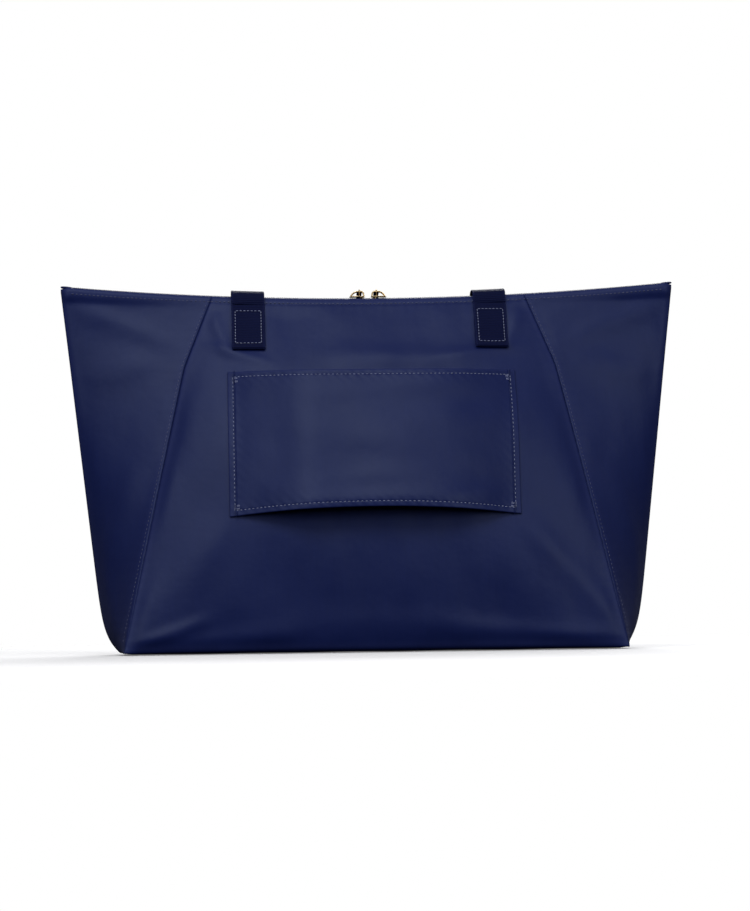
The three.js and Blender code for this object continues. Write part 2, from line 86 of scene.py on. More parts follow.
# The cloth and its seams.
CLOTH = 0.8
BEND_ROUNDING = 0.007
SEAM_GAP = 0.25
SEAM_ROLL = 1.7
SEAM_DIP = 0.8
FOLD_POWER = 0.72
FOLD_RADIUS = 3.4
FOLD_REACH = 5
TOP_SPREAD = 2.5
CORNER_DROP = 1.6
CORNER_DROP_START = 257
HEM_INNER = 3.3
HEM = ((0.15, -2.0), (0.35, -1.2), (0.6, -0.72), (0.8, -0.55), (1.0, -0.62))
TOP_WEAR = 0.6
TOP_ROWS = 10.4
EDGE_STEPS = (0, 0.35, 0.8, 1.4, 2.1, 3.0, 4.2, 6.0)
FOLD_STEPS = (6, 4.4, 3.0, 2.0, 1.2, 0.65, 0.28, 0.07, 0)
BASE_TURN = 4
PUCKER_LENGTH = 9
PUCKER_DEPTH = 0.16
PUCKER_REACH = 7
TOPSTITCH_DROP = 6.2
TOPSTITCH_END = 258
SEAM_STITCH_COLUMN = 4
SEAM_STITCH_START = 8
SEAM_THREAD = 0.5

# Soft folds: (x, z) of both ends, half width, height.
BACK_FOLDS = (
    ((-208, 5), (-146, 28), 6, 2.1),
    ((-206, 22), (-118, 114), 20, 2.0),
    ((-165, 8), (-60, 20), 9, 1.2),
    ((128, 108), (206, 22), 12, 2.4),
    ((60, 22), (196, 9), 9, 1.8),
    ((-70, 26), (70, 24), 12, 1.2),
    ((-30, 253), (92, 250), 10, 2.2),
    ((-138, 264), (-92, 249), 5, 1.7),
    ((64, 253), (128, 262), 5, 1.3),
    ((-136, 292), (-122, 258), 6, 1.5),
    ((128, 288), (118, 262), 6, 1.2),
    ((-150, 210), (-190, 90), 16, 1.4),
    ((152, 205), (178, 110), 15, 1.3),
)
FRONT_FOLDS = (
    ((-198, 14), (-120, 48), 9, 3.2),
    ((200, 18), (118, 60), 11, 3.0),
    ((-60, 20), (80, 26), 12, 1.6),
    ((-40, 282), (30, 270), 8, 1.4),
    ((-138, 280), (-110, 246), 6, 1.5),
    ((136, 276), (112, 240), 7, 1.6),
    ((-40, 180), (-150, 90), 18, 1.6),
    ((30, 150), (150, 96), 16, 1.5),
)
GUSSET_FOLDS = (
    ((256, 300), (176, 270), 9, 1.5),
    ((240, 236), (188, 252), 12, 1.2),
    ((236, 60), (206, 150), 12, 1.6),
    ((222, 14), (232, 70), 7, 1.6),
)

# The zip, measured from the top line.
TAPE_INNER = 1.0
TAPE_OUTER = 5.4
TAPE_MIDDLE = -1.45
TAPE_THICKNESS = 0.5
TAPE_END_OUTER = 3.0
TAPE_SEWING = 2.95
ZIP_HALF_LENGTH = 259
COIL_PITCH = 1.6
COIL_WIRE = 0.34
COIL_MIDDLE = (1.55, -0.15)
COIL_HALF = (0.95, 0.5)
ZIP_END_START = 255.5
ZIP_END_STOP = 265.8
ZIP_END_HALF_DEPTH = 3.6
ZIP_END_HALF_HEIGHT = 1.15

# The sliders and pulls.
SLIDER_INNER_END = 2.2
SLIDER_LENGTH = 14.3
SLIDER_WIDTHS = ((0, 0.2, 0.58, 0.85, 1), (3.3, 3.9, 5.2, 4.2, 2.4))
SLIDER_PLATES = (1.5, -2.75)
BAIL = ((1.4, 1.2), (2.3, 3.2), (4.4, 5.2), (7.4, 6.3), (10.6, 6.4), (12.3, 5.3), (12.8, 3.4), (12.9, 1.4))
PULL_EYE_FROM_END = 5.2
PULL_EYE_HEIGHT = 5.6
PULL_EYE_RADIUS = 2.25
PULL_WIDTH = 4.4
PULL_RING_WIRE = 0.5
PULL_HOLD_RADIUS = 0.95
PULL_HOLD_SHIFT = (0.9, 0)
PULL_STITCH_ROWS = (5.0, 17.0, 27.0)
PULL_THICKNESS = 0.6
PULL_STEP = 0.5
PULL_SELVEDGE = 0.12
PULL_TAIL = ((3.2, 5.4), (7, 4.2), (11.6, 1), (14.9, -4), (20, -12.6), (26.1, -23))

# The luggage sleeve. LOW and HIGH are its ends at its sides, and HEIGHT spaces its rows.
SLEEVE_HALF_WIDTH = 123
SLEEVE_LOW = 115.5
SLEEVE_HIGH = 239.9
SLEEVE_HEIGHT = 123.5
SLEEVE_FLAT_HALF_WIDTH = 64
SLEEVE_DEPTH = 21
SLEEVE_LIFT = 1.3
SLEEVE_CLOTH = 0.9
SLEEVE_SEWN = 3.5
SLEEVE_FLARE_LOW = 3.4
SLEEVE_FLARE_HIGH = 1.2
SLEEVE_ARCH_LOW = 7
SLEEVE_ARCH_HIGH = -0.5
SLEEVE_STITCH_INSET = 4.4
SLEEVE_EDGE_STEPS = (0, 0.4, 1.0, 1.8, 2.8, 3.6, 4.1, 4.4, 4.7, 5.2, 6.2)
SLEEVE_HEM_STEPS = (8.0, 9.2, 10.2)
SLEEVE_HEM = 10.4
SLEEVE_FOLDS = (
    ((-40, 222), (70, 228), 9, 1.1),
    ((-90, 140), (20, 150), 10, 0.8),
    ((10, 205), (95, 212), 10, -0.8),
    ((-60, 128), (96, 132), 8, 1.3),
)
RAMP_ROUNDING = 0.06
CREST_ROUNDING = 0.12
POLES = (-59, 74)
POLE_REACH = 17
BAR_TACK_ROWS = 5
BAR_TACK_PITCH = 0.9

# The handles. A bend's points are (y, z) from the top of the front tab.
STRAP_WIDTH = 28.6
STRAP = 1.4
STRAP_SELVEDGE = 0.45
HANDLE_X = 104.5
TAB_HIGH = 299
TAB_PATH = (
    (1.2, 284), (1.25, 266), (1.5, 261.2), (2.9, 259.6), (3.9, 261.4),
    (3.3, 266), (2.85, 284), (2.5, 288), (2.2, 293), (2.0, 299.5),
)
TAB_LIFT = ((261, 266, 284, 288, 293), (3.9, 3.3, 2.85, 2.5, 2.2))
TAB_BOX = (11.0, 264.0, 293.5)
HANDLE_TOP = 300
HANDLE_DROP = 250
LOOP_OFFSETS = {"front": 7.8, "back": 10.3}
LOOP_SEEDS = {"front": 2.1, "back": 0.4}
LOOP_DRIFTS = {"front": (3.5, 3.0), "back": (-2.5, -1.0)}
LOOP_TILT = 6
LOOP_SWAY = 0.5
LOOP_STEP = 1.6
LOOP_RELIEF = 0.35
TILT_START = 0.08
BENDS = {
    "back": (
        (-1.7, 1.8), (-0.9, 6.2), (2.2, 11.2), (9, 13.5), (17.3, 14.2), (24.2, 13), (28.8, 9.6), (31, 6.1),
    ),
    "front": ((1.7, 1.8), (1.7, 2.5), (2.4, 3.3), (3.6, 4.05), (5.0, 4.75), (6.1, 5.25)),
}
BEND_SPLIT = {"back": 0.5, "front": 0.97}
BLEND_RUN = {"front": 9, "back": 14}

# The stow pouch inside the back.
POUCH_HALF_WIDTH = 75
POUCH_LOW = 150
POUCH_HIGH = 244
POUCH_INSET = 7
POUCH_LIFT = 0.8
STOW_TAPE = (244.7, 254.9)
STOW_TAPE_LIFT = 0.35
STOW_TAPE_THICKNESS = 0.6
STOW_COIL_HEIGHT = 249
STOW_COIL_PITCH = 1.2
STOW_COIL_WIRE = 0.26

# Thread.
STITCH_PITCH = 3.6
STITCH_LENGTH = 1.9
THREAD = 0.62

# The stage, in metres, watts and degrees.
LIGHTS = (
    ("main", (-0.4, -1.7, 1.85), (1.7, 0.9), 27),
    ("fill_left", (-1.5, -2.05, 0.75), (1.2, 1.0), 11),
    ("fill_right", (1.5, -2.05, 0.75), (1.2, 1.0), 14),
    ("back", (0.6, 1.9, 1.3), (1.8, 1.0), 34),
)
LIGHT_TARGET = (0, 0, 0.2)
WORLD_RAMP = ((0.42, (0.01, 0.01, 0.012)), (0.95, (0.32, 0.32, 0.33)))
FLOOR_HALF = 1.4
FLOOR_STEPS = 15
FLOOR_HEIGHT = -0.0002
FLOOR_FADE = (0.55, 1.25)
FLOOR_GLOW = 0.16
CAMERA_ANGLES = (-3.5, -1.8, 0.8)
CAMERA_DISTANCE = 2.8
CAMERA_TARGET = (0.0036, 0, 0.12)
CAMERA_LENS = 127.6
CAMERA_SHIFT = 0.0628


# small helpers


def lerp(low, high, share):
    return low + (high - low) * share


def smooth(share):
    share = np.clip(share, 0, 1)
    return share * share * (3 - 2 * share)


def unit(vectors):
    return vectors / np.maximum(np.linalg.norm(vectors, axis=-1, keepdims=True), 1e-9)


def bell(distance, width):
    return np.exp(-np.square(distance / width))


def arc_lengths(points, axis=0):
    """Lengths from the first point on, along an axis of a path or a grid of points."""
    steps = np.linalg.norm(np.diff(points, axis=axis), axis=-1)
    return np.insert(np.cumsum(steps, axis=axis), 0, 0, axis=axis)


def columns_at(at, lengths, values):
    """The rows of values, which stand at some lengths, read at others."""
    return np.stack([np.interp(at, lengths, column) for column in values.T], -1)


def stack(*coordinates):
    """Points from coordinates, each a number or an array."""
    return np.stack(np.broadcast_arrays(*coordinates), -1)


def rounded_path(corners, step):
    """A smooth curve (Catmull-Rom) through corners, sampled about every step."""
    corners = np.array(corners, float)
    padded = np.concatenate([[2 * corners[0] - corners[1]], corners, [2 * corners[-1] - corners[-2]]])
    out = []
    for i in range(1, len(padded) - 2):
        p0, p1, p2, p3 = padded[i - 1 : i + 3]
        t = np.linspace(0, 1, 24, endpoint=False)[:, None]
        linear = p2 - p0
        squared = 2 * p0 - 5 * p1 + 4 * p2 - p3
        cubed = 3 * p1 - p0 - 3 * p2 + p3
        out.append(0.5 * (2 * p1 + linear * t + squared * t**2 + cubed * t**3))
    path = np.concatenate([*out, corners[-1:]])
    lengths = arc_lengths(path)
    total = lengths[-1]
    return columns_at(np.linspace(0, total, max(2, round(total / step) + 1)), lengths, path)


def faces_of(path, across):
    """The direction that a strip along path faces, square to its run and its width."""
    return unit(np.cross(unit(np.gradient(path, axis=0)), across))


# the bag's surfaces


def zip_height(x):
    return TOP_HEIGHT + ZIP_ARC_RADIUS - np.sqrt(ZIP_ARC_RADIUS**2 - np.square(x))


def seam_half_width(share):
    low_slope = (SEAM_HALF_WIDTH_AT_BEND - BASE_HALF_WIDTH) / SEAM_BEND
    high_slope = (SEAM_HALF_WIDTH_AT_TOP - SEAM_HALF_WIDTH_AT_BEND) / (1 - SEAM_BEND)
    above = BEND_ROUNDING * np.logaddexp(0, (share - SEAM_BEND) / BEND_ROUNDING)
    return BASE_HALF_WIDTH + low_slope * share + (high_slope - low_slope) * above


def edge_half_width(z):
    return EDGE_HALF_WIDTH + EDGE_SLOPE * z - CORNER_TUCK * np.exp(-z / CORNER_HEIGHT)


def half_depth(share, across):
    bulge = lerp(CENTRE_BULGE, SEAM_BULGE, np.clip(np.abs(across), 0, 1.02) ** 4)
    return lerp(BASE_HALF_DEPTH, TOP_HALF_DEPTH, share) + 4 * bulge * share * (1 - share)


def panel_depth(x, z):
    share = z / zip_height(x)
    return half_depth(share, x / seam_half_width(share))


def ridges(x, z, folds):
    """The height of soft folds at x, z: each fades away from its line and past its ends."""
    total = np.zeros(np.broadcast(x, z).shape)
    for (ax, az), (bx, bz), width, height in folds:
        dx, dz = bx - ax, bz - az
        length = math.hypot(dx, dz)
        along = ((x - ax) * dx + (z - az) * dz) / length**2
        away = ((x - ax) * dz - (z - az) * dx) / length
        fade = smooth((along + 0.3) / 0.6) * smooth((1.3 - along) / 0.6)
        total += height * bell(away, width) * fade
    return total


def ripples(x, z, seed, length, height):
    """An uneven surface: six waves of about one length in seeded directions."""
    random = np.random.default_rng(seed)
    total = np.zeros(np.broadcast(x, z).shape)
    for _ in range(6):
        angle = random.uniform(0, math.pi)
        wave = length * random.uniform(0.7, 1.5)
        phase = random.uniform(0, 2 * math.pi)
        total += np.sin((x * math.cos(angle) + z * math.sin(angle)) * 2 * math.pi / wave + phase)
    return height * total / math.sqrt(6)


def relief(side, x, z):
    """How far a panel's cloth stands off its smooth shape."""
    share = z / zip_height(x)
    from_seam = seam_half_width(share) - np.abs(x)
    from_top = zip_height(x) - z
    hold = smooth(from_seam / 14) * smooth(z / 16) * smooth((from_top - 4) / 16)
    folds = BACK_FOLDS if side == BACK else FRONT_FOLDS
    uneven = ripples(x, z, 3 + side, 95, 0.75) + ripples(x, z * 0.6, 7 + side, 38, 0.22)
    return hold * (ridges(x, z, folds) + uneven)


def on_panel(side, x, z, lift=0.0, relief_share=1.0):
    """Points at the height lift over the middle of a panel's cloth."""
    x, z = np.broadcast_arrays(np.asarray(x, float), np.asarray(z, float))
    slope_x = panel_depth(x + 0.5, z) - panel_depth(x - 0.5, z)
    slope_z = panel_depth(x, z + 0.5) - panel_depth(x, z - 0.5)
    normal = unit(stack(-slope_x, float(side), -slope_z))
    rise = lift + relief(side, x, z) * relief_share
    return stack(x, side * panel_depth(x, z), z) + normal * rise[..., None]


def panel_normal(side, x, z):
    return unit(on_panel(side, x, z, 1.0) - on_panel(side, x, z, 0.0))


def roll(distance, reach=SEAM_ROLL):
    """1 at a seam and 0 from reach on: the quarter round of an edge that turns in."""
    t = np.clip(1 - distance / reach, 0, 1)
    return 1 - np.sqrt(1 - t * t)


def pucker(distance, along):
    return PUCKER_DEPTH * np.sin(2 * math.pi * along / PUCKER_LENGTH) * np.exp(-distance / PUCKER_REACH)


# meshes


def signed_volume(points, faces):
    total = 0.0
    for face in faces:
        corners = points[face]
        for k in range(1, face.shape[1] - 1):
            total += np.einsum("ij,ij->", corners[:, 0], np.cross(corners[:, k], corners[:, k + 1]))
    return total / 6


def placed(name, data):
    """A new object in the scene."""
    made = bpy.data.objects.new(name, data)
    bpy.context.scene.collection.objects.link(made)
    return made


class Part:
    """Points, faces (arrays of triangles or quads), uv in metres, and wear from 0 to 1."""

    def __init__(self, points, faces, uv=None, wear=None):
        self.points = np.asarray(points, float)
        self.faces = [np.asarray(f, int) for f in faces if len(f)]
        if signed_volume(self.points, self.faces) < 0:
            self.faces = [f[:, ::-1] for f in self.faces]
        self.uv = np.zeros((len(self.points), 2)) if uv is None else np.asarray(uv, float)
        self.wear = np.zeros(len(self.points)) if wear is None else np.asarray(wear, float)


def quads_of(index):
    """Faces between the neighbours in a grid of point numbers."""
    corners = (index[:-1, :-1], index[:-1, 1:], index[1:, 1:], index[1:, :-1])
    return np.stack(corners, -1).reshape(-1, 4)


def closed(index):
    """A grid of point numbers whose last column joins its first."""
    return np.pad(index, ((0, 0), (0, 1)), mode="wrap")


def grid_normals(points, outward):
    normal = unit(np.cross(np.gradient(points, axis=1), np.gradient(points, axis=0)))
    if np.sum(normal * np.asarray(outward, float)) < 0:
        normal = -normal
    return normal


def grid_uv(points):
    across = arc_lengths(points, 1)
    across = across - across[:, -1:] / 2
    return np.stack([across, arc_lengths(points)], -1) * MM


def rim_of(rows, cols):
    """Grid places round the rim, and the place next to each, inside."""
    top = [(0, c) for c in range(cols)]
    right = [(r, cols - 1) for r in range(1, rows)]
    bottom = [(rows - 1, c) for c in range(cols - 2, -1, -1)]
    left = [(r, 0) for r in range(rows - 2, 0, -1)]
    rim = np.array(top + right + bottom + left)
    inside = np.clip(rim, 1, [rows - 2, cols - 2])
    return rim, inside


def sheet(middle, thickness, outward, wear=None, inner_extra=None):
    """A closed sheet of cloth about a grid of points, with a rounded rim."""
    rows, cols = middle.shape[:2]
    normal = grid_normals(middle, outward)
    below = np.full((rows, cols), thickness / 2) + (0 if inner_extra is None else inner_extra)
    outer = middle + normal * thickness / 2
    inner = middle - normal * below[..., None]
    rim, inside = rim_of(rows, cols)
    away = unit(middle[rim[:, 0], rim[:, 1]] - middle[inside[:, 0], inside[:, 1]])
    centre = (outer + inner)[rim[:, 0], rim[:, 1]] / 2
    edge = centre + away * thickness / 2
    count = rows * cols
    index = np.arange(count).reshape(rows, cols)
    outer_rim = rim[:, 0] * cols + rim[:, 1]
    rims = np.array([outer_rim, 2 * count + np.arange(len(rim)), outer_rim + count])
    faces = [quads_of(index)[:, ::-1], quads_of(index + count), quads_of(closed(rims))]
    wear = np.zeros((rows, cols)) if wear is None else wear
    flat_uv = grid_uv(middle).reshape(-1, 2)
    return Part(
        np.concatenate([outer.reshape(-1, 3), inner.reshape(-1, 3), edge]),
        faces,
        np.concatenate([flat_uv, flat_uv, flat_uv[outer_rim]]),
        np.concatenate([wear.ravel(), wear.ravel(), np.ones(len(rim))]),
    )


def lofted(rings):
    """A closed body through rings of points, its two ends closed to their middles."""
    rings = np.asarray(rings, float)
    count, around = rings.shape[:2]
    points = np.concatenate([rings.reshape(-1, 3), [rings[0].mean(0)], [rings[-1].mean(0)]])
    wrapped = closed(np.arange(count * around).reshape(count, around))
    start = stack(wrapped[0, 1:], wrapped[0, :-1], count * around)
    end = stack(wrapped[-1, :-1], wrapped[-1, 1:], count * around + 1)
    along = arc_lengths(rings.mean(1))
    girth = np.linalg.norm(np.diff(rings, axis=1, append=rings[:, :1]), axis=-1).sum(1).mean()
    u = np.tile(np.linspace(0, girth, around, endpoint=False), count)
    uv = np.concatenate([stack(u, np.repeat(along, around)), [[0, along[0]], [0, along[-1]]]])
    return Part(points, [quads_of(wrapped), start, end], uv * MM)


def oval(half_u, half_v, count, power=2.0):
    """A superellipse: power 2 is an ellipse, and more is squarer."""
    angle = np.linspace(0, 2 * math.pi, count, endpoint=False)
    cos, sin = np.cos(angle), np.sin(angle)
    u = np.sign(cos) * np.abs(cos) ** (2 / power) * half_u
    v = np.sign(sin) * np.abs(sin) ** (2 / power) * half_v
    return np.stack([u, v], -1)


def swept(path, across, face, section):
    """section's (u, v) points carried along path, u along across and v along face."""
    section = np.asarray(section, float)
    if section.ndim == 2:
        section = np.broadcast_to(section, (len(path), *section.shape))
    return path[:, None] + across[:, None] * section[..., :1] + face[:, None] * section[..., 1:]


def tube(path, radius, sides, reference):
    """A round wire along a path. reference is a direction that it never runs along."""
    tangent = unit(np.gradient(path, axis=0))
    one = unit(np.cross(tangent, np.asarray(reference, float)))
    two = np.cross(tangent, one)
    return lofted(swept(path, one, two, oval(radius, radius, sides)))


def ring_body(middle, radius, wire, normal, count=40, sides=12):
    """A closed round ring."""
    normal = unit(np.asarray(normal, float))
    one = unit(np.cross(normal, [1.0, 0.0, 0.3]))
    two = np.cross(normal, one)
    angle = np.linspace(0, 2 * math.pi, count, endpoint=False)
    away = one * np.cos(angle)[:, None] + two * np.sin(angle)[:, None]
    section = oval(wire, wire, sides)
    points = np.asarray(middle, float) + away[:, None] * (radius + section[:, :1]) + normal * section[:, 1:]
    wrapped = np.pad(np.arange(count * sides).reshape(count, sides), (0, 1), mode="wrap")
    return Part(points.reshape(-1, 3), [quads_of(wrapped)])


def make(name, parts, finish, body=None, *replaces):
    """One Blender object from parts, riding on a body and standing for CAD nodes."""
    material, slot = finish
    points, uv, wear, faces, start = [], [], [], [], 0
    for part in parts:
        points.append(part.points)
        uv.append(part.uv)
        wear.append(part.wear)
        faces += [row for group in part.faces for row in (group + start).tolist()]
        start += len(part.points)
    mesh = bpy.data.meshes.new(name)
    mesh.from_pydata((np.concatenate(points) * MM).tolist(), [], faces)
    corners = np.zeros(len(mesh.loops), int)
    mesh.loops.foreach_get("vertex_index", corners)
    layer = mesh.uv_layers.new(name="UVMap")
    layer.data.foreach_set("uv", np.concatenate(uv)[corners].astype(np.float32).ravel())
    attribute = mesh.attributes.new("wear", "FLOAT", "POINT")
    attribute.data.foreach_set("value", np.concatenate(wear).astype(np.float32))
    mesh.polygons.foreach_set("use_smooth", [True] * len(mesh.polygons))
    mesh.materials.append(material)
    mesh.update()
    piece = placed(name, mesh)
    if body:
        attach(piece, body)
    if replaces:
        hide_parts(*replaces)
    return piece


def stitches(path, normals, pitch=STITCH_PITCH, length=STITCH_LENGTH, thread=THREAD, sink=0.3):
    """A row of thread along a path: each stitch is a short arched strand."""
    lengths = arc_lengths(path)
    count = int(lengths[-1] // pitch)
    if count < 1:
        return []
    middles = (np.arange(count) + 0.5) * (lengths[-1] / count)
    spread = np.linspace(-0.5, 0.5, 7)
    at = middles[:, None] + spread[None, :] * length
    centre = columns_at(at, lengths, path)
    up = unit(columns_at(at, lengths, normals))
    arch = thread * (0.75 - (sink + 1.1) * (2 * spread) ** 4)
    centre = centre + up * arch[None, :, None]
    tangent = unit(np.gradient(centre, axis=1))
    across = unit(np.cross(tangent, up))
    lift = np.cross(across, tangent)
    taper = np.array([0.45, 0.85, 1, 1, 1, 0.85, 0.45])
    section = oval(thread / 2, thread / 2 * 0.85, 6)
    return [lofted(swept(*frames, section * taper[:, None, None])) for frames in zip(centre, across, lift)]


# materials


SOCKETS = {
    "color": "Base Color",
    "roughness": "Roughness",
    "metallic": "Metallic",
    "specular": "Specular IOR Level",
    "tint": "Specular Tint",
    "sheen": "Sheen Weight",
    "sheen_roughness": "Sheen Roughness",
    "sheen_tint": "Sheen Tint",
    "coat": "Coat Weight",
    "coat_roughness": "Coat Roughness",
}


class Nodes:
    """A short way to write a node tree: links take sockets, and settings take numbers."""

    def __init__(self, tree):
        self.tree = tree

    def feed(self, socket, value):
        if isinstance(value, bpy.types.NodeSocket):
            self.tree.links.new(value, socket)
        else:
            socket.default_value = value

    def add(self, kind, inputs=None, **settings):
        made = self.tree.nodes.new(kind)
        for key, value in settings.items():
            setattr(made, key, value)
        for key, value in (inputs or {}).items():
            self.feed(made.inputs[key], value)
        return made

    def math(self, operation, a, b=0.0, c=0.0):
        return self.add("ShaderNodeMath", {0: a, 1: b, 2: c}, operation=operation).outputs[0]


class Finish(Nodes):
    """The nodes of a material round its Principled shader."""

    def __init__(self, name):
        self.material = bpy.data.materials.new(name)
        self.material.use_nodes = True
        super().__init__(self.material.node_tree)
        self.shader = self.tree.nodes["Principled BSDF"]
        self.uv = self.add("ShaderNodeUVMap", uv_map="UVMap").outputs[0]
        self.bumps = None

    def noise(self, size, detail=2.0, stretch=(1, 1, 1), where=None):
        """Noise with features of about size metres."""
        mapped = self.add("ShaderNodeMapping", {"Vector": where or self.uv, "Scale": stretch})
        return self.add(
            "ShaderNodeTexNoise",
            {"Vector": mapped.outputs[0], "Scale": 0.5 / size, "Detail": detail},
        ).outputs["Fac"]

    def between(self, value, low, high):
        """Carries 0..1 to low..high."""
        return self.add("ShaderNodeMapRange", {0: value, 3: low, 4: high}).outputs[0]

    def wave(self, place, period):
        """A sine of a place, from 0 to 1."""
        turn = self.math("MULTIPLY", place, 2 * math.pi / period)
        return self.math("MULTIPLY_ADD", self.math("SINE", turn), 0.5, 0.5)

    def along(self, axis):
        """The place along u (0) or v (1), in metres."""
        return self.add("ShaderNodeSeparateXYZ", {0: self.uv}).outputs[axis]

    def mix(self, share, one, two):
        made = self.add("ShaderNodeMix", data_type="RGBA")
        for k, value in ((0, share), (6, one), (7, two)):
            self.feed(made.inputs[k], value)
        return made.outputs[2]

    def shades(self, share, color, low, high):
        """Between two shades of a colour."""
        return self.mix(share, shaded(color, low), shaded(color, high))

    def wear(self):
        return self.add("ShaderNodeAttribute", attribute_name="wear").outputs["Fac"]

    def bump(self, height, depth):
        inputs = {"Height": height, "Distance": depth, "Strength": 1.0}
        if self.bumps is not None:
            inputs["Normal"] = self.bumps
        self.bumps = self.add("ShaderNodeBump", inputs).outputs[0]

    def finish(self, **inputs):
        for key, value in inputs.items():
            self.feed(self.shader.inputs[SOCKETS[key]], value)
        if self.bumps is not None:
            self.feed(self.shader.inputs["Normal"], self.bumps)
        return self.material


def rgb(red, green, blue):
    return (red, green, blue, 1.0)


def shaded(color, share, lift=0.0):
    """A colour made darker or lighter, and lifted."""
    return rgb(*(c * share + lift for c in color))


def nylon(name, color, shade=1.0):
    """Smooth satin nylon: a fine plain weave, faint cockling, and rubbed edges. shade darkens the whole
    colour; below 1 it is painted shade, used for the copy inside the bag.
    """
    n = Finish(name)
    weave = n.math("MULTIPLY", n.wave(n.along(0), 0.00062), n.wave(n.along(1), 0.00058))
    slub = n.noise(0.0016, 2, (1, 0.12, 1))
    cockle = n.noise(0.011, 3)
    blotch = n.noise(0.055, 2)
    wear = n.wear()
    share = n.math("MULTIPLY_ADD", slub, 0.35, n.math("MULTIPLY", blotch, 0.65))
    tone = n.shades(share, color, 0.8 * shade, 1.22 * shade)
    tone = n.mix(n.math("MULTIPLY", wear, 0.45), tone, shaded(color, 1.5, 0.012))
    n.bump(cockle, 0.00055)
    n.bump(weave, 0.00003)
    roughness = n.math("MULTIPLY_ADD", wear, 0.06, n.between(blotch, 0.4, 0.5))
    return n.finish(
        color=tone, roughness=roughness, specular=0.24, tint=rgb(0.72, 0.84, 1.0), sheen=0.04,
        sheen_roughness=0.35, sheen_tint=rgb(0.34, 0.38, 0.62),
    )


def webbing(name, color):
    """Ribbed nylon webbing: ribs across the width, painted darker in their grooves as painted shade, a
    finer weave over them, worn edges.
    """
    n = Finish(name)
    ribs = n.wave(n.along(1), 0.0017)
    yarn = n.wave(n.along(0), 0.00085)
    fuzz = n.noise(0.0009, 3)
    blotch = n.noise(0.02, 2)
    # Painted shade: the colour follows the rib height and is darker in the grooves, mixed with a random
    # blotchy tone.
    share = n.math("MULTIPLY_ADD", ribs, 0.5, n.math("MULTIPLY", blotch, 0.4))
    tone = n.shades(share, color, 0.55, 1.35)
    tone = n.mix(n.math("MULTIPLY", n.wear(), 0.5), tone, shaded(color, 2.2, 0.006))
    n.bump(ribs, 0.0003)
    n.bump(yarn, 0.00007)
    n.bump(fuzz, 0.00008)
    return n.finish(
        color=tone, roughness=n.between(fuzz, 0.5, 0.68), specular=0.07, sheen=0.01,
        sheen_roughness=0.4, sheen_tint=rgb(0.35, 0.4, 0.65),
    )


def zip_tape(name, color):
    """Woven zip tape: a herringbone of diagonal ribs, painted darker in the grooves as painted shade."""
    n = Finish(name)
    folded = n.math("PINGPONG", n.along(1), 0.0012)
    ribs = n.wave(n.math("ADD", n.along(0), folded), 0.0007)
    n.bump(ribs, 0.0001)
    # Painted shade: the tape's colour follows the rib height and is darker in the grooves.
    tone = n.shades(ribs, color, 0.6, 1.5)
    return n.finish(color=tone, roughness=n.between(n.noise(0.002), 0.6, 0.75), specular=0.2)


def coil_plastic(name, color):
    """Drawn nylon wire: nearly smooth, with faint lines."""
    n = Finish(name)
    lines = n.noise(0.0006, 2, (8, 1, 1))
    n.bump(lines, 0.00002)
    tone = n.shades(n.noise(0.004), color, 0.7, 1.5)
    return n.finish(color=tone, roughness=n.between(lines, 0.26, 0.42), coat=0.15, coat_roughness=0.2)


def gold(name, color):
    """Pale gold plate over zinc: fine scratches, and paler where rubbed."""
    n = Finish(name)
    place = n.add("ShaderNodeTexCoord").outputs["Object"]
    scratches = n.noise(0.0004, 4, (1, 9, 9), place)
    cloud = n.noise(0.003, 2, (1, 1, 1), place)
    tone = n.shades(cloud, color, 0.82, 1.1)
    tone = n.mix(n.math("MULTIPLY", n.wear(), 0.4), tone, rgb(0.9, 0.85, 0.74))
    n.bump(scratches, 0.000012)
    return n.finish(color=tone, metallic=1.0, roughness=n.between(scratches, 0.16, 0.34))


def thread(name, color):
    """Twisted sewing thread, painted darker between its strands as painted shade."""
    n = Finish(name)
    strands = n.wave(n.math("ADD", n.along(1), n.along(0)), 0.0004)
    n.bump(strands, 0.00005)
    # Painted shade: the colour follows the strand height and is darker in the twist's grooves.
    tone = n.shades(strands, color, 0.7, 1.2)
    return n.finish(color=tone, roughness=0.55, sheen=0.25)


NAVY = (0.0058, 0.0115, 0.074)
NYLON = nylon("navy_nylon", NAVY), "nylon"
# Painted shade: the pouch inside the back gets the same nylon darkened to 0.7.
NYLON_SHADED_INSIDE = nylon("navy_nylon_painted_shade_inside", NAVY, 0.7), "nylon"
WEBBING = webbing("navy_webbing", (0.0026, 0.0052, 0.036)), "webbing"
TAPE = zip_tape("navy_zip_tape", (0.004, 0.005, 0.022)), "zip_tape"
COIL = coil_plastic("navy_zip_coil", (0.004, 0.005, 0.018)), "zip_coil"
GOLD = gold("pale_gold", (0.62, 0.47, 0.26)), "gold_metal"
THREAD_PALE = thread("pale_thread", (0.22, 0.25, 0.42)), "webbing"
THREAD_NAVY = thread("navy_thread", (0.055, 0.068, 0.17)), "webbing"
THREAD_ON_TAPE = THREAD_NAVY[0], "zip_tape"


# body panels


def cloth_rows(count, step):
    """Where a panel's rows of points stand, from 0 at its foot to 1, close together at both ends."""
    low = np.array(EDGE_STEPS)
    top = np.arange(TOP_ROWS, 0.1, -step)
    middle = np.linspace(low[-1], PANEL_HEIGHT - TOP_ROWS, count)[1:-1]
    rows = np.concatenate([low, middle, PANEL_HEIGHT - top, [PANEL_HEIGHT]]) / PANEL_HEIGHT
    return rows, lerp(BASE_GAP / TOP_HEIGHT, 1, rows)


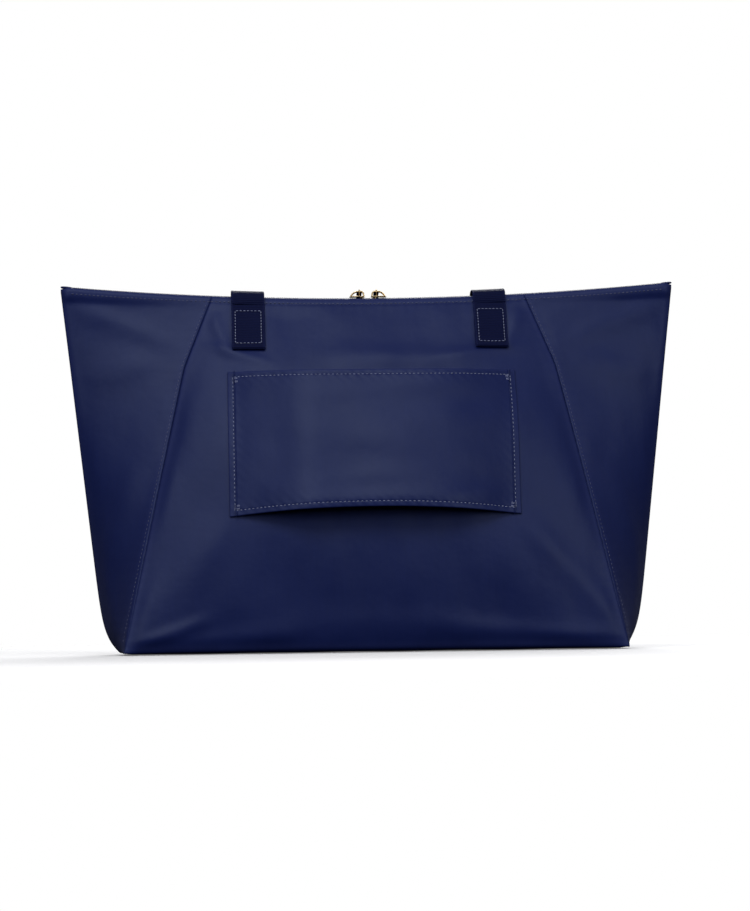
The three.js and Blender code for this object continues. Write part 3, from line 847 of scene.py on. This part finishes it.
def hemmed(grid, side, x, hold, sink=0.0):
    """Adds the rows of cloth that turn in over the top edge."""
    depth = np.abs(grid[-1, :, 1])
    rows = []
    for share, drop in HEM:
        y = lerp(depth, np.minimum(HEM_INNER, depth * hold), share)
        rows.append(stack(x, side * y, zip_height(x) + drop - sink))
    return np.concatenate([grid, np.array(rows)])


def rubbed(rows, *places):
    """Wear on a hemmed panel: most near its edges, and along its top."""
    wear = np.maximum(*places)
    wear = np.concatenate([wear, np.zeros((len(HEM), wear.shape[1]))])
    wear[rows - 3 :] = np.maximum(wear[rows - 3 :], TOP_WEAR)
    return wear


def body_panel(side):
    """A panel: its two seams and its base edge turn in, and its top edge is hemmed."""
    low = np.array(EDGE_STEPS)
    t, share = cloth_rows(132, 0.8)
    half = (seam_half_width(share) - SEAM_GAP)[:, None]
    middle = np.linspace(-1, 1, 176)[1:-1]
    x = np.concatenate([-half + low, middle * (half - low[-1]), half - low[::-1]], axis=1)
    z = lerp(BASE_GAP, zip_height(x) - PANEL_TOP_DROP, t[:, None])
    from_seam = half - np.abs(x)
    from_base = z - BASE_GAP
    from_topstitch = zip_height(x) - z - TOPSTITCH_DROP
    settled = BASE_DIP * roll(from_base, BASE_ROLL) * smooth(from_seam / BASE_SETTLE)
    tucked = np.maximum(SEAM_DIP * roll(from_base, BASE_TURN), settled)
    dip = np.maximum(SEAM_DIP * roll(from_seam), tucked)
    fine = pucker(from_seam, z) + pucker(from_base, x) + 0.6 * pucker(np.abs(from_topstitch), x)
    grid = on_panel(side, x, z, fine - dip - 0.3 * bell(from_topstitch, 0.9))
    grid = hemmed(grid, side, x[-1], 1)
    wear = rubbed(len(t), 0.5 * bell(from_seam - 2.6, 1.6), 0.6 * bell(from_base - 4, 2.5))
    return sheet(grid, CLOTH, (0, side, 0), wear), grid


def gusset_grid(end, side):
    """Half of a side, from the panel's seam to the fold that both halves share."""
    t, share = cloth_rows(120, 1.3)
    t, share = t[:, None], share[:, None]
    seam_x = seam_half_width(share) + SEAM_GAP
    fold_x = edge_half_width(share * TOP_HEIGHT)
    width = fold_x - seam_x
    near = np.array(EDGE_STEPS) * np.minimum(1, width / 16)
    far = np.array(FOLD_STEPS) * np.minimum(1, width / 16)
    middle = np.linspace(0, 1, 60)[1:-1]
    between = lerp(seam_x + near[:, -1:], fold_x - far[:, :1], middle)
    x = np.concatenate([seam_x + near, between, fold_x - far], axis=1)
    q = np.clip((x - seam_x) / width, 0, 1)
    y = half_depth(share, 1) * (1 - q) ** FOLD_POWER
    z = lerp(BASE_GAP, zip_height(x) - PANEL_TOP_DROP, t)
    radius = FOLD_RADIUS + TOP_SPREAD * smooth((z - zip_height(x) + 15) / 9)
    pinch = radius * np.sqrt(np.clip((fold_x - x) / FOLD_REACH, 0, 1))
    y = np.where(q >= 1, 0, (y**4 + pinch**4) ** 0.25)
    grid = stack(end * x, side * y, z)
    normal = grid_normals(grid, (end, side, 0))
    from_seam = x - seam_x
    from_fold = fold_x - x
    from_base = z - BASE_GAP
    from_top = zip_height(x) - z
    hold = smooth(from_seam / 12) * smooth(from_fold / 16) * smooth(z / 16) * smooth((from_top - 4) / 14)
    seed = end + 3 * side
    uneven = ripples(x, z, 20 + seed, 90, 0.4) + ripples(x, z * 0.6, 30 + seed, 34, 0.14)
    out = hold * (ridges(x, z, GUSSET_FOLDS) + uneven)
    out -= SEAM_DIP * np.maximum(roll(from_seam), roll(from_base, BASE_TURN)) * smooth(from_fold / 3)
    out += (pucker(from_seam, z) + pucker(from_base, x)) * smooth(from_fold / 8)
    grid = grid + normal * out[..., None]
    corner_drop = CORNER_DROP * smooth((x - CORNER_DROP_START) / 8) * smooth(t * 3 - 2)
    grid[..., 2] -= corner_drop
    grid = hemmed(grid, side, end * x[-1], 0.9, corner_drop[-1])
    return grid, rubbed(len(t), 0.5 * bell(from_seam - 2.6, 1.6), 0.7 * bell(from_fold, 4))


def base_sheet():
    """The base: its outline is the lower edge of the panels and gussets."""
    across = np.linspace(-1, 1, 61)
    deep = np.linspace(-1, 1, 45)
    fold = edge_half_width(np.float64(BASE_GAP))
    q = 1 - np.abs(deep) ** (1 / FOLD_POWER)
    half = lerp(BASE_HALF_WIDTH - 0.6, fold - 1.2, q)
    x = across[None, :] * half[:, None]
    tuck = SEAM_DIP + (BASE_DIP - SEAM_DIP) * smooth((BASE_HALF_WIDTH - np.abs(x)) / BASE_SETTLE)
    y = deep[:, None] * (BASE_HALF_DEPTH - 0.3 - tuck)
    edge = np.maximum(np.abs(across)[None, :] ** 60, np.abs(deep)[:, None] ** 24)
    z = 1.0 + 1.1 * edge + ripples(x, y, 41, 60, 0.12) * (1 - edge)
    return stack(x, y, z)


panel_grids = {}
for side_name, side in SIDES.items():
    part, grid = body_panel(side)
    panel_grids[side_name] = grid
    panel = make(f"{side_name}_panel_cloth", [part], NYLON, f"{side_name}_side", f"{side_name}_panel")

base = make("base_panel_cloth", [sheet(base_sheet(), CLOTH, (0, 0, 1))], NYLON, "shell", "base_panel")
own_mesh(base)


def blend_gusset(piece, end, side_name):
    """Bakes the piece's placement into its mesh; it rides on no body."""
    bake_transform(piece)


for end_name, end in ENDS.items():
    for side_name, side in SIDES.items():
        grid, wear = gusset_grid(end, side)
        name = f"{end_name}_gusset_{side_name}"
        gusset = make(f"{name}_cloth", [sheet(grid, CLOTH, (end, side, 0), wear)], NYLON, None, name)
        blend_gusset(gusset, end, side_name)
        panel_grids[name] = grid


# seam stitching


def cloth_row(grid, outward, rows, columns):
    """Places on the outside of the cloth, and the way that it faces there."""
    normal = grid_normals(grid, outward)[rows, columns]
    return grid[rows, columns] + normal * CLOTH / 2, normal


def topstitch_row(grid, outward):
    """The row of stitches below the hem, found on the cloth by its height."""
    flat = grid[: -len(HEM)]
    rows = np.argmax(flat[..., 2] >= zip_height(flat[..., 0]) - TOPSTITCH_DROP, axis=0)
    return cloth_row(grid, outward, rows, np.arange(grid.shape[1]))


for side_name, side in SIDES.items():
    rows = stitches(*topstitch_row(panel_grids[side_name], (0, side, 0)))
    make(f"{side_name}_topstitch", rows, THREAD_NAVY, f"{side_name}_side")
for end_name, end in ENDS.items():
    for side_name, side in SIDES.items():
        grid = panel_grids[f"{end_name}_gusset_{side_name}"]
        path, up = topstitch_row(grid, (end, side, 0))
        keep = np.abs(path[:, 0]) < TOPSTITCH_END
        rows = stitches(path[keep], up[keep])
        beside_seam = slice(SEAM_STITCH_START, len(grid) - len(HEM) - SEAM_STITCH_COLUMN)
        sewn_row = cloth_row(grid, (end, side, 0), beside_seam, SEAM_STITCH_COLUMN)
        rows += stitches(*sewn_row, thread=SEAM_THREAD)
        sewn = make(f"{end_name}_{side_name}_seam_stitch", rows, THREAD_NAVY)
        blend_gusset(sewn, end, side_name)


# zip


def zip_strip(x, y, drop):
    return stack(x, y, zip_height(x) + drop)


def coil(half_length, pitch, wire, place):
    """A zip's coil. place turns x and an angle round the coil into points."""
    turns = int(2 * half_length / pitch)
    angle = np.linspace(0, 2 * math.pi * turns, turns * 10)
    return tube(place(-half_length + angle * pitch / (2 * math.pi), angle), wire, 6, (1, 0, 0))


x_line = np.linspace(-ZIP_HALF_LENGTH, ZIP_HALF_LENGTH, 260)
sewing_x = x_line[::4]
for side_name, side in SIDES.items():
    outer = np.minimum(TAPE_OUTER, TAPE_END_OUTER + 0.15 * (ZIP_HALF_LENGTH - np.abs(x_line)))
    y = side * lerp(TAPE_INNER, outer, np.linspace(0, 1, 7)[:, None])
    tape_part = sheet(zip_strip(x_line, y, TAPE_MIDDLE), TAPE_THICKNESS, (0, 0, 1))
    tape = make(f"{side_name}_zip_tape_cloth", [tape_part], TAPE, "shell", f"{side_name}_zip_tape")

    def on_zip(x, angle, side=side):
        y = side * (COIL_MIDDLE[0] + COIL_HALF[0] * np.cos(angle))
        half_pitch = COIL_PITCH / 2 if side > 0 else 0
        return zip_strip(x + half_pitch, y, COIL_MIDDLE[1] + COIL_HALF[1] * np.sin(angle))

    wire = coil(ZIP_HALF_LENGTH - 2, COIL_PITCH, COIL_WIRE, on_zip)
    make(f"{side_name}_zip_coil_wire", [wire], COIL, "shell", f"{side_name}_zip_coil")
    sewn = zip_strip(sewing_x, side * TAPE_SEWING, TAPE_MIDDLE + TAPE_THICKNESS / 2)
    ups = np.tile([0.0, 0.0, 1.0], (len(sewn), 1))
    make(f"{side_name}_zip_sewing", stitches(sewn, ups, 2.4, 1.8, 0.4), THREAD_ON_TAPE, "shell")

for end_name, end in ENDS.items():
    reach = np.linspace(ZIP_END_START, ZIP_END_STOP, 12)
    middle = reach.mean()
    swell = (1 - np.square((reach - middle) / (reach[-1] - middle) * 0.985)) ** 0.25
    rings = []
    for x, share in zip(reach, swell):
        section = oval(ZIP_END_HALF_DEPTH * share, ZIP_END_HALF_HEIGHT * share, 24, 2.8)
        rings.append(stack(end * x, section[:, 0], zip_height(x) - 0.2 + section[:, 1]))
    make(f"{end_name}_zip_end_cloth", [lofted(rings)], NYLON, "shell", f"{end_name}_zip_end")


# sliders and pulls


def bar(path, half_across, half_face, across, count=16):
    """A bar along a path in the x-z plane, with its half sizes at each point."""
    halves = zip(np.broadcast_to(half_across, len(path)), np.broadcast_to(half_face, len(path)))
    section = np.array([oval(a, b, count, 3.2) for a, b in halves])
    across = np.broadcast_to(np.asarray(across, float), path.shape)
    face = np.cross(unit(np.gradient(path, axis=0)), across)
    return lofted(swept(path, across, face, section))


def slider_parts():
    """A slider from its low end at x = 0 to its nose, z measured from the top line."""
    along = np.linspace(0, 1, 26)
    x = 0.2 + along * (SLIDER_LENGTH - 0.4)
    rounding = np.sqrt(np.clip(1 - np.square(2 * along - 1) ** 3, 0.0, 1))
    width = np.interp(along, *SLIDER_WIDTHS) * np.maximum(rounding, 0.16)
    edge = np.maximum(rounding, 0.3)
    top_z, under_z = SLIDER_PLATES
    top = bar(stack(x, 0.0, top_z + 0.35 * np.sin(math.pi * along)), width, 0.62 * edge, (0, 1, 0), 28)
    under = bar(stack(x, 0.0, under_z), width, 0.6 * edge, (0, 1, 0), 28)
    post = bar(stack(SLIDER_LENGTH - 3.5, 0.0, np.linspace(-3, 1.8, 8)), 1.4, 0.45, (1, 0, 0), 12)
    arch = rounded_path(BAIL, 0.45)
    share = np.linspace(0, 1, len(arch))
    bail_width = 1.3 + 1.1 * np.sin(math.pi * np.clip(1.2 * share, 0, 1)) ** 2
    bail = bar(stack(arch[:, 0], 0.0, arch[:, 1]), bail_width, 0.72, (0, 1, 0), 18)
    return [top, under, post, bail]


def place_slider(part, end, along=0.0):
    """Takes a part made for the left slider to its place on the sagging top line."""
    middle = SLIDER_INNER_END + SLIDER_LENGTH / 2
    tilt = math.asin(middle / ZIP_ARC_RADIUS)
    x = end * (SLIDER_LENGTH / 2 - along - part.points[:, 0])
    y, z = part.points[:, 1], part.points[:, 2]
    turned_x = end * middle + x * math.cos(tilt) - end * z * math.sin(tilt)
    turned_z = zip_height(middle) + z * math.cos(tilt) + end * x * math.sin(tilt)
    return Part(stack(turned_x, y, turned_z), part.faces, part.uv, part.wear)


def strap_section(half_width, thickness, selvedge):
    """A strap's section: flat, with rounded selvedges that are a little thicker."""
    half = thickness / 2
    outer = [
        (-half_width, 0.0),
        (-half_width + half * 0.35, half * 0.8),
        (-half_width + half, half * 1.08),
        (-half_width + selvedge * 4, half * 1.06),
        (-half_width + selvedge * 5.5, half * 0.9),
    ]
    flat = [(u, half * 0.94) for u in np.linspace(-half_width + selvedge * 7, half_width - selvedge * 7, 8)]
    top = outer + flat + [(-u, w) for u, w in reversed(outer)]
    return np.array(top + [(u, -w) for u, w in reversed(top[1:-1])])


def side_normals(path_yz):
    """Normals on the left of a path in the y-z plane."""
    tangent = unit(np.gradient(path_yz, axis=0))
    return stack(-tangent[:, 1], tangent[:, 0])


def ribbon(path_yz, half_width, thickness, selvedge):
    """A narrow woven ribbon that runs along a path in the y-z plane."""
    path = stack(0.0, *path_yz.T)
    face = stack(0.0, *side_normals(path_yz).T)
    across = np.tile([1.0, 0.0, 0.0], (len(path), 1))
    return lofted(swept(path, across, face, strap_section(half_width, thickness, selvedge)))


def pull_parts():
    """A ring through the bail, and a ribbon folded round the front of the ring."""
    tail = rounded_path(PULL_TAIL, PULL_STEP)
    normal = side_normals(tail)
    gap = PULL_THICKNESS / 2 + 0.06
    facing = math.degrees(math.atan2(tail[1, 1] - tail[0, 1], tail[1, 0] - tail[0, 0]))
    angle = np.radians(np.linspace(facing + 70, facing + 290, 30))
    hold = stack(np.cos(angle), np.sin(angle)) * PULL_HOLD_RADIUS + tail[0] - PULL_HOLD_SHIFT
    path = np.concatenate([(tail[3:] + normal[3:] * gap)[::-1], hold, tail[3:] - normal[3:] * gap])
    path = rounded_path(path[::2], 0.4)
    strip = ribbon(path, PULL_WIDTH / 2, PULL_THICKNESS, PULL_SELVEDGE)
    ring = ring_body((0, 0, PULL_EYE_HEIGHT), PULL_EYE_RADIUS, PULL_RING_WIRE, (1, 0, 0))
    rows = []
    for at in PULL_STITCH_ROWS:
        k = int(at / PULL_STEP)
        for sign in (1, -1):
            spot = tail[k] + normal[k] * sign * (gap + PULL_THICKNESS / 2)
            line = stack(np.linspace(-1.7, 1.7, 5), *spot)
            ups = np.tile([0.0, *(normal[k] * sign)], (5, 1))
            rows += stitches(line, ups, 1.1, 0.95, 0.3)
    return {"ribbon": ([strip], WEBBING), "ring": ([ring], GOLD), "stitch": (rows, THREAD_PALE)}


slider = slider_parts()
pull = pull_parts()
for end_name, end in ENDS.items():
    metal = [place_slider(part, end) for part in slider]
    make(f"{end_name}_zip_slider_metal", metal, GOLD, f"{end_name}_slider", f"{end_name}_zip_slider")
    for label, (group, finish) in pull.items():
        parts = [place_slider(part, end, SLIDER_LENGTH - PULL_EYE_FROM_END) for part in group]
        replaced = [f"{end_name}_zip_pull"] if label == "ribbon" else []
        make(f"{end_name}_zip_pull_{label}", parts, finish, f"{end_name}_pull", *replaced)


# luggage sleeve


def sleeve_lift(x, z, share):
    """How far the sleeve stands off the panel, and how freely: sewn at its sides, held out by poles."""
    from_side = SLEEVE_HALF_WIDTH - np.abs(x)
    ramp = (from_side - SLEEVE_SEWN) / (SLEEVE_HALF_WIDTH - SLEEVE_FLAT_HALF_WIDTH)
    ramp = RAMP_ROUNDING * np.logaddexp(0, ramp / RAMP_ROUNDING)
    rise = np.clip(1 - CREST_ROUNDING * np.logaddexp(0, (1 - ramp) / CREST_ROUNDING), 0, 1)
    poles = sum(bell(x - pole, POLE_REACH) for pole in POLES)
    flare = SLEEVE_FLARE_LOW * bell(share, 0.2) + SLEEVE_FLARE_HIGH * bell(1 - share, 0.1)
    slack = ripples(x, z, 51, 85, 0.55) + ripples(x * 0.5, z, 52, 40, 0.28)
    free = smooth((from_side - 8) / 24)
    uneven = poles + flare * rise + slack + ridges(x, z, SLEEVE_FOLDS)
    return lerp(SLEEVE_LIFT, SLEEVE_DEPTH, rise) + free * uneven, rise


def sleeve_point(x, share, lift=0.0):
    reach = 1 - np.square(x / SLEEVE_HALF_WIDTH)
    low = SLEEVE_LOW + SLEEVE_ARCH_LOW * reach
    high = SLEEVE_HIGH + SLEEVE_ARCH_HIGH * reach
    z = lerp(low, high, share)
    rise, free = sleeve_lift(x, z, share)
    point = on_panel(BACK, x, z, SLEEVE_LIFT, 1 - free)
    point[..., 1] -= rise - SLEEVE_LIFT + lift
    return point


def with_edges(steps, low, high, middle):
    """Places from low to high: at some steps from both of them, and at others between."""
    steps = np.array(steps)
    return np.concatenate([low + steps, middle, high - steps[::-1]])


def sleeve_part():
    """The sleeve's cloth: stitching sinks into it, and its hems are double."""
    half = SLEEVE_HALF_WIDTH
    columns = with_edges(SLEEVE_EDGE_STEPS, -half, half, np.arange(5 - half, half - 4.5))
    hem = SLEEVE_EDGE_STEPS + SLEEVE_HEM_STEPS
    middle_rows = np.linspace(hem[-1], SLEEVE_HEIGHT - hem[-1], 56)[1:-1]
    x, share = np.meshgrid(columns, with_edges(hem, 0, SLEEVE_HEIGHT, middle_rows) / SLEEVE_HEIGHT)
    up = share * SLEEVE_HEIGHT
    from_end = np.minimum(share, 1 - share) * SLEEVE_HEIGHT
    from_side = SLEEVE_HALF_WIDTH - np.abs(x)
    from_edge = np.minimum(from_end, from_side)
    from_stitch = from_edge - SLEEVE_STITCH_INSET
    along = np.where(from_end < from_side, x, up)
    dimple = 0.5 + 0.5 * np.cos(2 * math.pi * along / STITCH_PITCH)
    sunk = -0.34 * bell(from_stitch, 0.55) * (0.55 + 0.45 * dimple)
    waves = pucker(np.abs(from_stitch), x + up)
    middle = sleeve_point(x, share, sunk + waves - 0.35 * roll(from_edge, 0.9))
    hem_inside = 0.8 * smooth((SLEEVE_HEM - from_end) / 0.9)
    return sheet(middle, SLEEVE_CLOTH, (0, -1, 0), 0.75 * bell(from_edge, 1.2), hem_inside)


sleeve = make("luggage_sleeve_cloth", [sleeve_part()], NYLON, "back_side", "luggage_sleeve")


def sleeve_stitches(x, share, *sizes):
    """A row of stitches on the sleeve."""
    x, share = np.broadcast_arrays(x, share)
    path = sleeve_point(x, share, SLEEVE_CLOTH / 2 - 0.3)
    along_x = sleeve_point(x + 0.5, share) - sleeve_point(x - 0.5, share)
    along_z = sleeve_point(x, share + 0.004) - sleeve_point(x, share - 0.004)
    return stitches(path, unit(np.cross(along_x, along_z)), *sizes)


rows = []
row_x = SLEEVE_HALF_WIDTH - SLEEVE_STITCH_INSET
row_share = SLEEVE_STITCH_INSET / SLEEVE_HEIGHT
for share in (row_share, 1 - row_share):
    rows += sleeve_stitches(np.linspace(-row_x, row_x, 260), share)
for x in (-row_x, row_x):
    rows += sleeve_stitches(x, np.linspace(row_share, 1 - row_share, 130))
for sign in (-1, 1):
    for share, inward in ((row_share, 1), (1 - row_share, -1)):
        for k in range(BAR_TACK_ROWS):
            x = sign * (row_x - BAR_TACK_PITCH * k) + 0.35 * np.linspace(-1, 1, 8)
            span = share + inward * np.linspace(-0.3, 5.2, 8) / SLEEVE_HEIGHT
            rows += sleeve_stitches(x, span, 2.7, 2.5, 0.5)
make("luggage_sleeve_stitch", rows, THREAD_PALE, "back_side")


# handles


def strap_part(path, across, face):
    section = strap_section(STRAP_WIDTH / 2, STRAP, STRAP_SELVEDGE)
    part = lofted(swept(path, across, face, section))
    count, around = len(path), len(section)
    part.uv[:-2] = stack(np.tile(section[:, 0], count), np.repeat(arc_lengths(path), around)) * MM
    part.wear[:-2] = np.tile(0.8 * bell(STRAP_WIDTH / 2 - np.abs(section[:, 0]), 1.1), count)
    return part


def tab_path(side, x):
    """A sewn tab: an end folded under, and the strap that leaves over the top."""
    lift, z = rounded_path(TAB_PATH, 0.5).T
    centre = on_panel(side, x, z, lift)
    across = unit(on_panel(side, x + 1.0, z, lift) - on_panel(side, x - 1.0, z, lift))
    return centre, across, faces_of(centre, across)


def box_stitch(side, x):
    """Stitches in a box on the outside of a tab."""
    half, low, high = TAB_BOX
    corners = ((-half, low), (half, low), (half, high), (-half, high), (-half, low))
    rows = []
    for (x0, z0), (x1, z1) in zip(corners, corners[1:]):
        xs = np.linspace(x + x0, x + x1, 24)
        zs = np.linspace(z0, z1, 24)
        lift = np.interp(zs, *TAB_LIFT) + STRAP / 2 * 0.94
        rows += stitches(on_panel(side, xs, zs, lift), panel_normal(side, xs, zs), 2.9, 2.1, 0.62)
    return rows


def bend_path(points, x, flip):
    """The strap's line over the top edge, drawn from the top of the front tab."""
    top = on_panel(FRONT, HANDLE_X, TAB_HIGH, 0.0, 0.0)
    y, z = rounded_path(points, 0.6).T
    path = stack(x, y + flip * top[1], z + top[2])
    slope = (zip_height(x + 1.0) - zip_height(x - 1.0)) / 2
    across = np.tile(unit(np.array([1.0, 0.0, slope])), (len(path), 1))
    return path, across, faces_of(path, across)


profile_z = np.arange(HANDLE_TOP, 2.0, -0.5)
profile_length = arc_lengths(stack(panel_depth(HANDLE_X, profile_z), profile_z))


def loop_path(offset, seed, drift):
    """The free loop: two legs and a half-round arch, laid on the front panel."""
    leg = HANDLE_DROP - HANDLE_X + STRAP_WIDTH / 2
    total = 2 * leg + math.pi * HANDLE_X
    run = np.arange(0, total + 0.01, LOOP_STEP)
    share = run / total
    tilt = smooth((np.minimum(share, 1 - share) - TILT_START) / (0.5 - TILT_START))
    sway = LOOP_SWAY * np.sin(share * 9 + seed) * tilt
    angle = np.clip((run - leg) / HANDLE_X, 0, math.pi)
    legs = np.minimum(run, total - run)
    in_arch = (run > leg) & (run < total - leg)

    def at(inset):
        radius = HANDLE_X - inset
        x = drift[0] * tilt - radius * np.cos(angle)
        length = drift[1] * tilt + np.where(in_arch, leg + radius * np.sin(angle), legs)
        z = np.interp(length, profile_length, profile_z)
        lift = offset + LOOP_TILT * tilt * (inset / STRAP_WIDTH + 0.5) + sway
        return on_panel(FRONT, x, z, lift, LOOP_RELIEF)

    centre = at(0.0)
    across = unit(at(1.0) - at(-1.0))
    return centre, across, faces_of(centre, across)


def cut(path, start, stop):
    """The stretch of a strap between two lengths."""
    lengths = arc_lengths(path[0])
    at = np.concatenate([[start], lengths[(lengths > start + 0.1) & (lengths < stop - 0.1)], [stop]])
    return tuple(columns_at(at, lengths, values) for values in path)


for side_name, side in SIDES.items():
    loop = loop_path(LOOP_OFFSETS[side_name], LOOP_SEEDS[side_name], LOOP_DRIFTS[side_name])
    loop_length = arc_lengths(loop[0])[-1]
    run = BLEND_RUN[side_name]
    handle, bends, panel = f"{side_name}_handle", f"{side_name}_handle_bends", f"{side_name}_side"
    core = strap_part(*cut(loop, run, loop_length - run))
    strap = make(f"{handle}_loop_strap", [core], WEBBING, handle, f"{handle}_loop")
    for end_name, end in ENDS.items():
        name = f"{side_name}_{end_name}"
        x = end * HANDLE_X
        make(f"{name}_tab_strap", [strap_part(*tab_path(side, x))], WEBBING, panel, f"{name}_handle_tab")
        make(f"{name}_tab_stitch", box_stitch(side, x), THREAD_PALE, panel)
        bend = bend_path(BENDS[side_name], x, side)
        length = arc_lengths(bend[0])[-1]
        split = length * BEND_SPLIT[side_name]
        start, stop = bend[0][0], cut(bend, 0, split)[0][-1]
        first = strap_part(*cut(bend, 0, min(split + 0.4, length)))
        lower = make(f"{name}_bend_lower", [first], WEBBING, None, f"{name}_handle_bend")
        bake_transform(lower)
        leg, across, _ = cut(loop, 0, run + 0.6)
        if end > 0:
            leg, across, _ = (values[::-1] for values in cut(loop, loop_length - run - 0.6, loop_length))
        if np.dot(across[0], bend[1][0]) < 0:
            across = -across
        rest = cut(bend, split, length)
        leg_path = (leg, across, faces_of(leg, across))
        second = (np.concatenate([one, two[1:]]) for one, two in zip(rest, leg_path))
        upper = make(f"{name}_bend_upper", [strap_part(*second)], WEBBING)
        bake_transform(upper)


# stow pouch


def on_pouch(x, z, lift):
    """Points inside the back panel, at a height over the pouch's lining side."""
    x, z = np.broadcast_arrays(x, z)
    return stack(x, POUCH_INSET + lift - panel_depth(0 * x, z), z)


def pouch_sheet(low, high, lift, thickness):
    x, z = np.meshgrid(np.linspace(-POUCH_HALF_WIDTH, POUCH_HALF_WIDTH, 50), np.linspace(low, high, 40))
    return sheet(on_pouch(x, z, lift + ripples(x, z, 61, 50, 0.25)), thickness, (0, 1, 0))


pouch_part = pouch_sheet(POUCH_LOW, POUCH_HIGH, POUCH_LIFT, CLOTH)
# The pouch wears the nylon copy with painted shade.
pouch = make("stow_pouch_cloth", [pouch_part], NYLON_SHADED_INSIDE, "back_side", "stow_pouch")
rows = []
outline = ((0.95, 0.05), (0.95, 0.95), (0.05, 0.95), (0.05, 0.05), (0.95, 0.05))
for one, two in zip(outline, outline[1:]):
    across, up = np.linspace(one, two, 60).T
    x = lerp(-POUCH_HALF_WIDTH, POUCH_HALF_WIDTH, across)
    line = on_pouch(x, lerp(POUCH_LOW, POUCH_HIGH, up), POUCH_LIFT + CLOTH / 2 + 0.25)
    rows += stitches(line, np.tile([0.0, 1.0, 0.0], (60, 1)))
make("stow_pouch_stitch", rows, THREAD_PALE, "back_side")
tape_part = pouch_sheet(*STOW_TAPE, STOW_TAPE_LIFT, STOW_TAPE_THICKNESS)
stow_tape = make("stow_zip_tape_cloth", [tape_part], TAPE, "back_side", "stow_zip_tape")


def on_stow_zip(x, angle):
    return on_pouch(x, STOW_COIL_HEIGHT + 1.6 * np.cos(angle), 1.5 + 0.35 * np.sin(angle))


stow_coil = coil(POUCH_HALF_WIDTH - 5, STOW_COIL_PITCH, STOW_COIL_WIRE, on_stow_zip)
make("stow_zip_coil_wire", [stow_coil], COIL, "back_side", "stow_zip_coil")


def paint(node, width):
    """A carried-over metal node: its own mesh, with softened edges and a better finish."""
    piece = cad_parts[node]
    piece.data.materials.clear()
    piece.data.materials.append(GOLD[0])
    bevel = piece.modifiers.new("soft_edges", "BEVEL")
    bevel.width = width * MM
    bevel.segments = 3
    bevel.limit_method = "ANGLE"


paint("stow_zip_slider", 0.25)
paint("stow_zip_ring", 0.05)


# stage


def area_light(name, place, size, power):
    data = bpy.data.lights.new(name, "AREA")
    data.shape = "RECTANGLE"
    data.size, data.size_y = size
    data.energy = power
    lamp = placed(name, data)
    lamp.location = place
    lamp.rotation_euler = (Vector(LIGHT_TARGET) - Vector(place)).to_track_quat("-Z", "Y").to_euler()


def stage_floor():
    """A pale floor that fades out well away from the bag."""
    n = Finish("pale_floor")
    place = n.add("ShaderNodeTexCoord").outputs["Object"]
    away = n.add("ShaderNodeVectorMath", {0: place}, operation="LENGTH").outputs["Value"]
    start, stop = FLOOR_FADE
    fade = {0: away, 1: start, 2: stop, 3: 1.0, 4: 0.0}
    shown = n.add("ShaderNodeMapRange", fade, interpolation_type="SMOOTHSTEP").outputs[0]
    grain = n.noise(0.004, 2, (1, 1, 1), place)
    n.finish(color=n.mix(grain, rgb(0.92, 0.92, 0.93), rgb(0.97, 0.97, 0.98)), roughness=0.7, specular=0.2)
    seen = n.add("ShaderNodeLightPath").outputs["Is Camera Ray"]
    n.feed(n.shader.inputs["Alpha"], n.math("MULTIPLY", seen, shown))
    n.feed(n.shader.inputs["Emission Color"], rgb(1, 1, 1))
    n.feed(n.shader.inputs["Emission Strength"], FLOOR_GLOW)
    mesh = bpy.data.meshes.new("floor")
    steps = np.linspace(-FLOOR_HALF, FLOOR_HALF, FLOOR_STEPS)
    points = [(x, y, FLOOR_HEIGHT) for y in steps for x in steps]
    index = np.arange(FLOOR_STEPS**2).reshape(FLOOR_STEPS, FLOOR_STEPS)
    mesh.from_pydata(points, [], quads_of(index).tolist())
    mesh.materials.append(n.material)
    placed("floor", mesh)


def studio_world():
    """White behind the bag; a dimmer studio with a bright ceiling lights it."""
    world = bpy.data.worlds.new("studio")
    world.use_nodes = True
    n = Nodes(world.node_tree)
    n.tree.nodes.clear()
    place = n.add("ShaderNodeTexCoord").outputs["Generated"]
    height = n.add("ShaderNodeSeparateXYZ", {0: place}).outputs[2]
    ramp = n.add("ShaderNodeValToRGB", {0: n.math("MULTIPLY_ADD", height, 0.5, 0.5)})
    for element, (position, color) in zip(ramp.color_ramp.elements, WORLD_RAMP):
        element.position = position
        element.color = rgb(*color)
    light = n.add("ShaderNodeBackground", {0: ramp.outputs[0]}).outputs[0]
    white = n.add("ShaderNodeBackground", {0: rgb(1, 1, 1)}).outputs[0]
    seen = n.add("ShaderNodeLightPath").outputs["Is Camera Ray"]
    mixed = n.add("ShaderNodeMixShader", {0: seen, 1: light, 2: white}).outputs[0]
    n.add("ShaderNodeOutputWorld", {0: mixed})
    bpy.context.scene.world = world


def camera():
    """Low and a little to the left, looking slightly up, and turned slightly."""
    azimuth, elevation, roll_angle = (math.radians(angle) for angle in CAMERA_ANGLES)
    level = math.cos(elevation)
    away = Vector((math.sin(azimuth) * level, -math.cos(azimuth) * level, math.sin(elevation)))
    data = bpy.data.cameras.new("camera")
    data.lens = CAMERA_LENS
    data.shift_y = CAMERA_SHIFT
    data.sensor_width = 36
    eye = placed("camera", data)
    eye.location = Vector(CAMERA_TARGET) + away * CAMERA_DISTANCE
    eye.rotation_mode = "QUATERNION"
    eye.rotation_quaternion = Quaternion(-away, roll_angle) @ (-away).to_track_quat("-Z", "Y")
    bpy.context.scene.camera = eye


stage_floor()
studio_world()
for light_row in LIGHTS:
    area_light(*light_row)
camera()
bpy.context.scene.view_settings.view_transform = "Standard"
